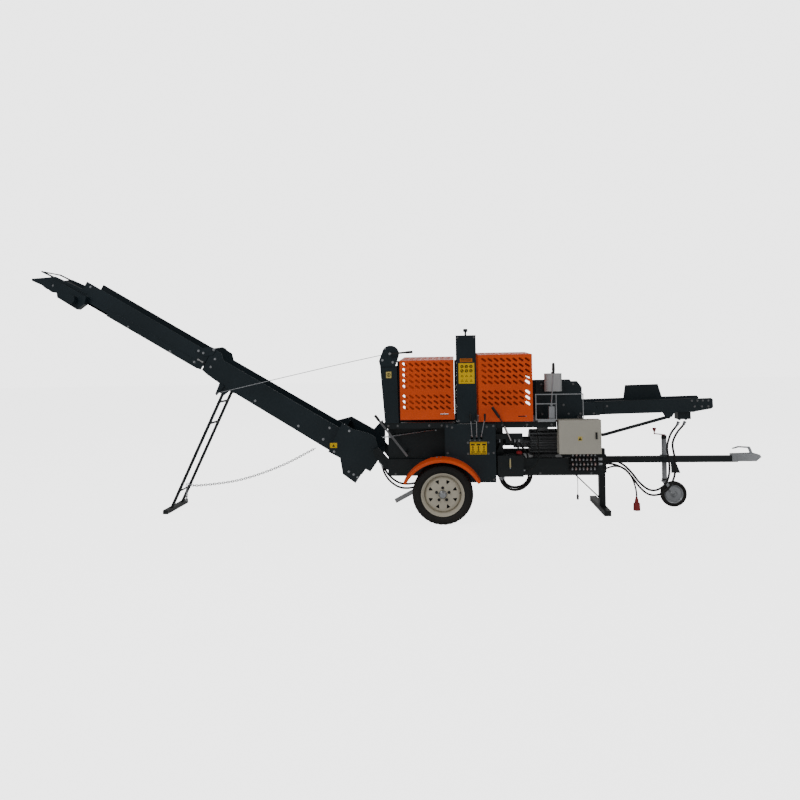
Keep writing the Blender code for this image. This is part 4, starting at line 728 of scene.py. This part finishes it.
HOSE = 0.0100
hose_a = line("infeed_hose_pressure", "rubber",
              [(2.872, -0.090, 0.8460), (2.850, -0.105, 0.815), (2.780, -0.14, 0.745),
               (2.735, -0.155, 0.645), (2.748, -0.17, 0.507), (2.745, -0.178, 0.369),
               (2.700, -0.18, 0.250), (2.612, -0.182, 0.175), (2.505, -0.184, 0.168),
               (2.418, -0.186, 0.235), (2.340, -0.20, 0.340), (2.250, -0.27, 0.430),
               (2.120, -0.36, 0.490), (1.9935, -0.386, 0.495)], HOSE,
              bend=("infeed", "chassis", (2.872, -0.09, 0.84), (2.62, -0.18, 0.20)),
              replaces=["infeed_hose"])
hose_b = line("infeed_hose_return", "rubber",
              [(2.812, -0.090, 0.8455), (2.795, -0.098, 0.815), (2.727, -0.120, 0.730),
               (2.690, -0.135, 0.610), (2.700, -0.150, 0.490), (2.696, -0.166, 0.370),
               (2.655, -0.200, 0.280), (2.575, -0.210, 0.220), (2.490, -0.212, 0.222),
               (2.405, -0.214, 0.290), (2.330, -0.235, 0.385), (2.240, -0.300, 0.470),
               (2.120, -0.372, 0.532), (1.9935, -0.386, 0.539)], HOSE,
              bend=("infeed", "chassis", (2.82, -0.09, 0.84), (2.58, -0.20, 0.24)))
ferrules("infeed_hose_ends_upper", [ends_of(hose_a)[0], ends_of(hose_b)[0]], HOSE, body="infeed")
ferrules("infeed_hose_ends_lower", [ends_of(hose_a)[1], ends_of(hose_b)[1]], HOSE)

tail_a = line("conveyor_hose_pressure", "rubber",
              [(-0.040, -0.2315, 0.470), (-0.020, -0.2315, 0.394), (0.032, -0.24, 0.320),
               (0.105, -0.25, 0.268), (0.178, -0.26, 0.252), (0.264, -0.27, 0.262),
               (0.340, -0.275, 0.300), (0.40, -0.28, 0.345)], HOSE,
              bend=("conveyor_lower", "chassis", (-0.04, -0.23, 0.46), (0.18, -0.26, 0.27)),
              replaces=["conveyor_hose"])
tail_b = line("conveyor_hose_return", "rubber",
              [(-0.030, -0.2020, 0.474), (-0.006, -0.2020, 0.405), (0.047, -0.209, 0.343),
               (0.112, -0.220, 0.301), (0.180, -0.230, 0.287), (0.262, -0.240, 0.295),
               (0.335, -0.247, 0.328), (0.388, -0.252, 0.368)], HOSE,
              bend=("conveyor_lower", "chassis", (-0.03, -0.20, 0.46), (0.18, -0.23, 0.29)))
ferrules("conveyor_hose_ends_tail", [ends_of(tail_a)[0], ends_of(tail_b)[0]], HOSE, body="conveyor_lower")
ferrules("conveyor_hose_ends_frame", [ends_of(tail_a)[1], ends_of(tail_b)[1]], HOSE)
piece("conveyor_hose_block", "conveyor_lower", "zinc",
      [block(-0.062, -0.012, -0.245, -0.188, 0.476, 0.500),
       block(-0.075, -0.050, -0.244, -0.200, 0.490, 0.520)],
      0.002)
piece("conveyor_hose_clamp", "chassis", "zinc",
      [block(0.384, 0.412, -0.316, -0.235, 0.350, 0.378), block(0.390, 0.406, -0.352, -0.300, 0.376, 0.3848)],
      0.002)

# two suction hoses looped under the oil tank, and the thin gauge tube beside it
SUCTION = 0.0120
loop_a = line("tank_hose_near", "rubber",
              [(1.085, -0.435, 0.3925), (1.092, -0.432, 0.345), (1.135, -0.425, 0.290),
               (1.205, -0.415, 0.262), (1.285, -0.395, 0.272), (1.345, -0.365, 0.312),
               (1.375, -0.340, 0.355), (1.380, -0.334, 0.3845)], SUCTION, step=0.015)
loop_b = line("tank_hose_far", "rubber",
              [(1.110, -0.400, 0.3925), (1.115, -0.398, 0.350), (1.150, -0.392, 0.304),
               (1.210, -0.380, 0.280), (1.280, -0.364, 0.288), (1.330, -0.346, 0.320),
               (1.352, -0.336, 0.356), (1.355, -0.332, 0.3845)], SUCTION, step=0.015)
ferrules("tank_hose_ends", [ends_of(loop_a)[0], ends_of(loop_b)[0]], SUCTION)
gauge_tube = line("gauge_tube", "rubber",
                  [(1.430, -0.425, 0.8855), (1.433, -0.428, 0.800), (1.438, -0.430, 0.690),
                   (1.440, -0.430, 0.600), (1.425, -0.430, 0.520), (1.385, -0.430, 0.465),
                   (1.335, -0.428, 0.445), (1.2955, -0.425, 0.445)], 0.0045,
                  step=0.015)
piece("gauge_tube_ends", "chassis", "zinc",
      [sleeve(gauge_tube[0], (0, 0, -1), 0.0047, [(0.008, 0.0), (0.008, 0.030), (0.006, 0.034)], sides=6),
       sleeve(gauge_tube[-1], (1, 0, 0), 0.0047, [(0.008, 0.0), (0.008, 0.016), (0.006, 0.020)], sides=6)])

# saw valve hoses running down behind the tank
SAW_HOSE_FALL = ((0.0, 0.7345), (0.0, 0.7200), (0.03, 0.7050), (0.16, 0.6800), (0.38, 0.6540),
                 (0.62, 0.6260), (0.84, 0.6000), (0.97, 0.5750), (1.0, 0.5600), (1.0, 0.5455))
valve_hoses = []
for number, (x0, y0, x1, y1) in enumerate(((1.085, -0.375, 1.048, -0.330), (1.225, -0.385, 1.300, -0.330),
                                           (1.265, -0.385, 1.350, -0.322)), 1):
    run = line("saw_valve_hose_%d" % number, "rubber",
               [(x0 + (x1 - x0) * share, y0 + (y1 - y0) * share, z)
                for share, z in SAW_HOSE_FALL],
               0.0085, step=0.012)
    valve_hoses.append(ends_of(run)[0])
ferrules("saw_valve_hose_ends", valve_hoses, 0.0085)

# signal cable left hanging by its connector
connector = piece("signal_connector", "chassis", "black_plastic",
                  [turned([(0.0, 0.152), (0.007, 0.152), (0.0105, 0.156), (0.0105, 0.176), (0.0120, 0.178),
                           (0.0120, 0.190), (0.0080, 0.196), (0.0050, 0.204), (0.0, 0.204)],
                          1.807, -0.330, 0.0, "Z", 24)])
line("signal_cable", "rubber",
     [(1.807, -0.330, 0.3845), (1.8085, -0.330, 0.330), (1.809, -0.330, 0.270), (1.807, -0.330, 0.2035)],
     0.0035, sides=10)


def chain(route, pitch, wire, half_long, half_wide):
    """Links laid along a route, each turned a quarter from the last."""
    solids = []
    total, walked, k = length_of(route), 0.0, 0
    count = int(total / pitch)
    for number in range(count):
        want = (number + 0.5) * pitch
        while k < len(route) - 2 and walked + (route[k + 1] - route[k]).length < want:
            walked += (route[k + 1] - route[k]).length
            k += 1
        step = route[k + 1] - route[k]
        spot = route[k] + step * ((want - walked) / step.length)
        ahead = step.normalized()
        across = Vector((0, 1, 0)) if number % 2 else ahead.cross(Vector((0, 1, 0))).normalized()
        ring = []
        for i in range(14):
            a = 2 * pi * i / 14
            straight = (half_long - half_wide) * (1 if cos(a) > 0 else -1)
            ring.append(spot + ahead * (straight + half_wide * cos(a)) + across * half_wide * sin(a))
        solids.append(rod(ring, wire, 6, closed=True))
    return solids


chain_route = smooth_route([(-2.0825, 0.0, 0.250), (-1.95, 0.0, 0.235), (-1.526, 0.0, 0.290),
                            (-1.10, 0.0, 0.430), (-0.735, 0.0, 0.610)], 0.01)
links = shape("leg_chain_links", chain(chain_route, 0.0235, 0.0035, 0.0165, 0.0090))
links.data.shade_smooth()
dress(links, None, "zinc", replaces=["leg_chain"],
      bend=("conveyor_leg", "conveyor_lower", (-2.05, 0.0, 0.25), (-0.80, 0.0, 0.58)))
spare_route = smooth_route([(-2.0900, 0.016, 0.236), (-2.092, 0.022, 0.150), (-2.100, 0.030, 0.060)], 0.01)
piece("leg_chain_tail", "conveyor_leg", "zinc", chain(spare_route, 0.0235, 0.0035, 0.0165, 0.0090))

# ---------------------------------------------------------------- nose wheel, its tube trim and clamp

JOCKEY_X, JOCKEY_Y = 2.717, 0.0585
AXLE_X, AXLE_Z = 2.80, 0.126
tread = [(0.088, -0.016), (0.094, -0.024), (0.103, -0.0285), (0.113, -0.0270), (0.121, -0.0200),
         (0.1252, -0.0110), (0.1258, -0.0060), (0.1235, -0.0045), (0.1235, -0.0020), (0.1259, -0.0008)]
piece("jockey_tyre", "jockey_wheel", "tyre",
      [turned(tread + [(r, -t) for r, t in reversed(tread)], AXLE_X, JOCKEY_Y, AXLE_Z, sides=80)],
      replaces=["jockey_wheel"])
hub = [(0.0090, -0.034), (0.021, -0.034), (0.022, -0.020), (0.034, -0.010), (0.074, -0.007), (0.082, -0.0150),
       (0.0895, -0.0190), (0.0895, -0.0160), (0.0870, -0.0120)]
piece("jockey_rim", "jockey_wheel", "zinc",
      [turned(hub + [(r, -t) for r, t in reversed(hub)], AXLE_X, JOCKEY_Y, AXLE_Z, sides=64)])
piece("jockey_axle_nuts", "jockey_fork", "zinc",
      hexagon(AXLE_X, JOCKEY_Y - 0.052, AXLE_Z, "-Y", 0.010, 0.009)
      + hexagon(AXLE_X, JOCKEY_Y + 0.052, AXLE_Z, "Y", 0.010, 0.009), 0.0006)
piece("jockey_tube_trim", "chassis", "black_plastic",
      [sleeve((JOCKEY_X, JOCKEY_Y, 0.668), (0, 0, 1), 0.0243,
              [(0.0262, 0.0), (0.0262, 0.030), (0.0250, 0.0335)]),
       sleeve((JOCKEY_X, JOCKEY_Y, 0.263), (0, 0, 1), 0.0243, [(0.0262, 0.0), (0.0262, 0.014)])])
clamp = [block(JOCKEY_X - 0.034, JOCKEY_X + 0.034, 0.0935, 0.0975, 0.455, 0.501),
         rod([(JOCKEY_X, 0.095, 0.478), (JOCKEY_X, 0.135, 0.478)], 0.0065),
         rod([(JOCKEY_X - 0.036, 0.128, 0.478), (JOCKEY_X + 0.036, 0.128, 0.478)], 0.005)]
for dx in (-0.026, 0.026):
    clamp += hexagon(JOCKEY_X + dx, 0.0975, 0.478, "Y", 0.0065, 0.007)
piece("jockey_clamp", "chassis", "zinc", clamp, 0.0005)

# ---------------------------------------------------------------- plates, gauges and marks

FACE = -0.5
PLATE_TOP = FACE - 0.0013


PLATE_THICK = 0.0014


def plate(name, x0, x1, z0, z1, y, material, body="chassis"):
    return piece(name, body, "cream_paint", [block(x0, x1, y - PLATE_THICK, y + 0.0002, z0, z1)], 0.0005,
                 material)


def marks(name, solids, material=INK, body="chassis"):
    return piece(name, body, "black_plastic", solids, 0.0, material)


def ring(x, z, outer, inner, y):
    return sleeve((x, y, z), (0, -1, 0), inner, [(outer, 0.0), (outer, 0.0006)], 28)


def ink(outline, behind=0.0):
    """Thin printed shape on a plate that lies on the tower and cover face."""
    return prism(outline, PLATE_TOP - behind - 0.0006, PLATE_TOP - behind)


def ink_bar(x0, x1, z0, z1):
    return ink([(x0, z0), (x1, z0), (x1, z1), (x0, z1)])


# pictogram board on the saw tower: two rows of round signs over two rows of small signs
plate("tower_sign", 0.712, 0.858, 1.262, 1.452, FACE, YELLOW)
plate("tower_sign_top", 0.726, 0.840, 1.462, 1.495, FACE, AMBER)
signs = []
for i, x in enumerate((0.744, 0.785, 0.826)):
    for j, z in enumerate((1.420, 1.380)):
        signs += [ring(x, z, 0.0150, 0.0080, PLATE_TOP),
                  ink(capsule((x - 0.0060, z - 0.0050 + 0.002 * i), (x + 0.0060, z + 0.0050 - 0.003 * j),
                              0.0026, 4))]
    for z in (1.334, 1.290):
        signs.append(ink([(x - 0.0130, z - 0.0100), (x + 0.0130, z - 0.0100), (x, z + 0.0120)]))
marks("tower_sign_marks", signs)
lights = [ink([(x - 0.0080, z - 0.0070), (x + 0.0080, z - 0.0070), (x, z + 0.0065)], 0.0005)
          for x in (0.744, 0.785, 0.826) for z in (1.334, 1.290)]
marks("tower_sign_inlays", lights, YELLOW)
marks("tower_sign_rows", [block(0.734, 0.832, FACE - 0.0020, FACE - 0.0013, z, z + 0.0035)
                          for z in (1.470, 1.479, 1.487)])

# valve chart on the cover: one arrow column for each lever
plate("valve_chart", 0.806, 0.960, 0.607, 0.722, FACE, YELLOW)
chart = [ink_bar(0.812, 0.954, 0.711, 0.7155), ink_bar(0.812, 0.954, 0.6135, 0.618)]
for x in (0.832, 0.883, 0.934):
    chart += [ink_bar(x - 0.017, x + 0.017, 0.690, 0.704), ink_bar(x - 0.017, x + 0.017, 0.625, 0.634),
              ink_bar(x - 0.0035, x + 0.0035, 0.648, 0.674),
              ink([(x - 0.0100, 0.672), (x + 0.0100, 0.672), (x, 0.686)]),
              ink([(x - 0.0100, 0.650), (x + 0.0100, 0.650), (x, 0.637)])]
marks("valve_chart_marks", chart)
plate("winch_sign", 0.034, 0.084, 1.322, 1.382, -0.4600, CREAM_PLATE)
marks("winch_sign_mark", [ring(0.059, 1.352, 0.0175, 0.0120, -0.4612),
                          block(0.0555, 0.0625, -0.4618, -0.4612, 1.342, 1.362)])
plate("cabinet_sign", 1.7885, 1.8285, 0.725, 0.765, -0.4990, CREAM_PLATE, body="box_door")
marks("cabinet_sign_mark", [prism([(1.7935, 0.7305), (1.8235, 0.7305), (1.8085, 0.7595)], -0.5009, -0.5003)],
      body="box_door")
marks("cabinet_sign_bolt", [prism([(1.8090, 0.7540), (1.8045, 0.7435), (1.8080, 0.7440), (1.8065, 0.7340),
                                   (1.8125, 0.7455), (1.8090, 0.7450)], -0.5014, -0.5008)],
      YELLOW, "box_door")

# oil level gauge: framed glass with the oil behind it
piece("gauge_glass", "chassis", "grey_plastic",
      [prism(capsule((1.173, 0.486), (1.173, 0.555), 0.0062, 8), -0.4895, -0.4870)], 0.0, GLASS)
piece("gauge_bolts", "chassis", "zinc",
      hexagon(1.173, -0.488, 0.4755, "-Y", 0.0040, 0.005)
      + hexagon(1.173, -0.488, 0.5655, "-Y", 0.0040, 0.005))

# ---------------------------------------------------------------- bolts and fittings on the chassis

DECK_FACE = -0.4500
near_bolts = []
for x in (0.046, 0.135, 0.430, 0.548, 1.110, 1.335, 1.560):
    near_bolts += hexagon(x, DECK_FACE, 0.872, "-Y")
for x, z in ((0.598, 0.868), (0.643, 0.858), (0.962, 0.861), (1.022, 0.868), (0.598, 0.372), (1.022, 0.372),
             (0.598, 0.620), (1.022, 0.620), (0.706, 0.918), (0.859, 0.918), (0.706, 1.690), (0.859, 1.690),
             (0.787, 0.613), (0.975, 0.716), (0.975, 0.613), (0.787, 0.716)):
    near_bolts += hexagon(x, FACE, z, "-Y")
for x in (0.825, 0.8685, 0.912):
    near_bolts += hexagon(x - 0.0165, FACE, 0.738, "-Y", 0.0055, 0.006)
for x, z in ((1.500, 1.232), (1.800, 1.232), (1.707, 1.033), (1.754, 0.948), (1.865, 0.948), (1.843, 0.915),
             (1.505, 0.948), (1.990, 0.948)):
    near_bolts += bolt_pair(x, 0.219, z)
for x in (0.10, 0.60, 1.10, 1.30, 1.46, 1.70, 1.93):
    near_bolts += hexagon(x, 0.355, 0.525, "Y")
    near_bolts += hexagon(x, 0.355, 0.405, "Y")
for x in (0.10, 1.46, 1.93):
    near_bolts += hexagon(x, -0.355, 0.405, "-Y")
piece("frame_bolts", "chassis", "zinc", near_bolts, 0.0, DULL_STEEL)
piece("winch_pins", "chassis", "zinc",
      hexagon(0.003, -0.475, 1.491, "-Y", 0.008, 0.007) + hexagon(0.100, -0.475, 1.470, "-Y", 0.008, 0.007)
      + hexagon(0.030, -0.475, 1.600, "-Y", 0.006, 0.006))
piece("winch_crank_nut", "winch_crank", "zinc", hexagon(0.077, -0.515, 1.550, "-Y", 0.0085, 0.008))
piece("lever_nuts", "chassis", "zinc",
      [rod([(x - 0.004, -0.478, 0.770), (x - 0.0285, -0.478, 0.770)], 0.004) for x in (0.8445, 0.8880)])

infeed_bolts = []
for s in (-0.030, 0.034, 0.088):
    infeed_bolts.append((2.03 + s, 1.005 + 0.010))
for s in (0.875, 0.925, 0.975, 1.025):
    infeed_bolts.append((2.03 + s, 1.040 + 0.0175))
for s in (0.900, 0.965, 1.025):
    infeed_bolts.append((2.03 + s, 0.985 + 0.0175))
solids = []
for x, z in infeed_bolts:
    solids += bolt_pair(x, 0.200, z)
piece("infeed_bolts", "infeed", "zinc", solids, 0.0, DULL_STEEL)


ANGLE = radians(30.5)
TILT_X, TILT_Z = -0.088, 0.609


def up_conveyor(s, n):
    return TILT_X - cos(ANGLE) * s + sin(ANGLE) * n, TILT_Z + sin(ANGLE) * s + cos(ANGLE) * n


def conveyor_bolts(name, body, places, half):
    heads = []
    for s, n in places:
        x, z = up_conveyor(s, n)
        heads += bolt_pair(x, half, z, 0.0085, 0.008)
    piece(name, body, "zinc", heads)


conveyor_bolts("hopper_bolts", "conveyor_lower",
               [(0.139, -0.312), (0.084, -0.312), (0.037, -0.317), (0.0, 0.0), (0.33, 0.035), (0.36, -0.215)],
               0.250)
conveyor_bolts("lower_board_bolts", "conveyor_lower",
               [(0.52, -0.05), (0.52, -0.18), (1.86, -0.03), (1.86, -0.12), (1.30, -0.19), (0.80, -0.19)],
               0.170)
conveyor_bolts("upper_board_bolts", "conveyor_upper",
               [(2.03, -0.16), (2.30, -0.19), (2.80, -0.19), (3.34, -0.03), (3.34, -0.145)], 0.170)
conveyor_bolts("knuckle_bolts", "conveyor_upper", [(1.915, 0.045), (1.992, -0.035), (2.045, -0.040)], 0.1765)
latch = []
for side in (-1, 1):
    for s in (1.955, 2.005):
        x, z = up_conveyor(s, -0.117)
        latch.append(disc(x, z, 0.010, *sorted((side * 0.170, side * 0.180)), sides=24))
    a, b = up_conveyor(1.955, -0.117), up_conveyor(2.005, -0.117)
    latch.append(prism(capsule(a, b, 0.0060), *sorted((side * 0.176, side * 0.1815))))
piece("fold_latches", "conveyor_upper", "bright_steel", latch, 0.0)
x, z = up_conveyor(0.395, -0.165)
plate("hopper_sign", x - 0.035, x + 0.035, z - 0.024, z + 0.024, -0.2500, YELLOW, body="conveyor_lower")
marks("hopper_sign_mark", [prism([(x - 0.014, z - 0.014), (x + 0.014, z - 0.014), (x, z + 0.013)],
                                 -0.2520, -0.2514)], body="conveyor_lower")
# light strip along the upper boards
strip_pieces = []
for side in (-1, 1):
    corners = [up_conveyor(s, n)
               for s, n in ((2.03, -0.131), (3.40, -0.131), (3.40, -0.1385), (2.03, -0.1385))]
    strip_pieces.append(prism(corners, *sorted((side * 0.1698, side * 0.1730))))
piece("upper_board_strip", "conveyor_upper", "slate_paint", strip_pieces, 0.001)

# ---------------------------------------------------------------- levers with their grips

for number, (x, lean) in enumerate(((0.8250, -0.010), (0.8685, 0.0), (0.9120, 0.031)), 1):
    name = "valve_lever_%d" % number
    piece(name + "_rod", name, "zinc",
          [disc(-0.478, 0.770, 0.0085, x - 0.007, x + 0.007, "X", 20),
           rod([(x, -0.480, 0.770), (x, -0.516, 0.771), (x, -0.524, 0.785), (x + lean, -0.535, 0.940)],
               0.0042)],
          replaces=[name])
    piece(name + "_grip", name, "black_plastic",
          [turned([(0.0, -0.012), (0.0070, -0.012), (0.0090, 0.012), (0.0115, 0.044), (0.0070, 0.056),
                   (0.0, 0.057)], x + lean * 1.06, -0.5365, 0.930, "Z", 20)])
piece("feed_lever_rod", "feed_lever", "zinc",
      [disc(1.562, 1.052, 0.011, -0.454, -0.438, sides=24),
       rod([(1.562, -0.446, 1.055), (1.585, -0.446, 1.355)], 0.0062)], replaces=["feed_lever"])
piece("feed_lever_grip", "feed_lever", "black_plastic",
      [turned([(0.0, 1.340), (0.0110, 1.342), (0.0148, 1.380), (0.0130, 1.430), (0.0085, 1.441),
               (0.0, 1.4418)],
              1.586, -0.446, 0.0, "Z", 24)])
(top_x, top_z), (foot_x, foot_z), half_wide = (-0.060, 0.953), (0.222, 0.588), 0.010
run = hypot(foot_x - top_x, foot_z - top_z)
off_x, off_z = half_wide * (top_z - foot_z) / run, half_wide * (foot_x - top_x) / run
piece("lock_lever_bar", "lock_lever", "zinc",
      [prism([(top_x + off_x, top_z + off_z), (top_x - off_x, top_z - off_z),
              (foot_x - off_x, foot_z - off_z), (foot_x + off_x, foot_z + off_z)], -0.470, -0.463)],
      0.001, DULL_STEEL, replaces=["lock_lever"])
piece("lock_lever_grip", "lock_lever", "black_plastic",
      [rod([(-0.040, -0.4665, 0.927), (-0.078, -0.4665, 0.976)], 0.0133, 20)], 0.002)
piece("saw_lever_arm", "saw_lever", "bright_steel",
      [rod([(1.180, -0.5125, 0.735), (1.124, -0.5125, 0.866)], 0.0065)])

# ---------------------------------------------------------------- hose couplings under the cabinet

piece("manifold_plate", "chassis", "zinc", [block(1.735, 1.985, -0.372, -0.3555, 0.428, 0.594)], 0.002,
      DARK_STEEL, replaces=["hose_manifold"])
steel_nuts, rose_nuts, couplers = [], [], []
for row in range(4):
    z = 0.450 + 0.0435 * row
    couplers.append(rod([(1.728, -0.386, z), (1.985, -0.386, z)], 0.0070))
    for place in range(7):
        x = 1.745 + 0.034 * place + 0.006 * (row % 2)
        nut = sleeve((x, -0.386, z), (1, 0, 0), 0.0072, [(0.0150, 0.0), (0.0150, 0.013)], 6)
        (rose_nuts if (place + row) % 3 == 1 else steel_nuts).append(nut)
piece("manifold_pipes", "chassis", "zinc", couplers, 0.0, DARK_STEEL)
piece("manifold_nuts", "chassis", "zinc", steel_nuts, 0.0005)
piece("manifold_rings", "chassis", "zinc", rose_nuts, 0.0005, ROSE_STEEL)

# upright strips that close the gaps beside the left guard
post_right, tower_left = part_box("winch_post")[1][0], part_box("saw_tower")[0][0]
guard_low, guard_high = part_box("guard_left")
guard_top = guard_high[2]
piece("gap_strips", "chassis", "slate_paint",
      [block(post_right - 0.020, guard_low[0] - 0.002, -0.400, -0.396, 0.9005, guard_top - 0.03),
       block(guard_high[0] + 0.002, tower_left - 0.0005, -0.400, -0.396, 0.9005, guard_top - 0.03)])

# toothed rack above the wedge lever
teeth = []
for k in range(8):
    teeth += [(0.120 + 0.044 * k, 0.853 + 0.003 * k), (0.142 + 0.044 * k, 0.853 + 0.003 * k),
              (0.153 + 0.044 * k, 0.838 + 0.003 * k)]
rack = [(0.110, 0.862), (0.112, 0.853)] + teeth + [(0.472, 0.872), (0.470, 0.880)]
piece("wedge_rack", "chassis", "zinc", [prism(rack, -0.372, -0.366)], 0.0, DULL_STEEL)
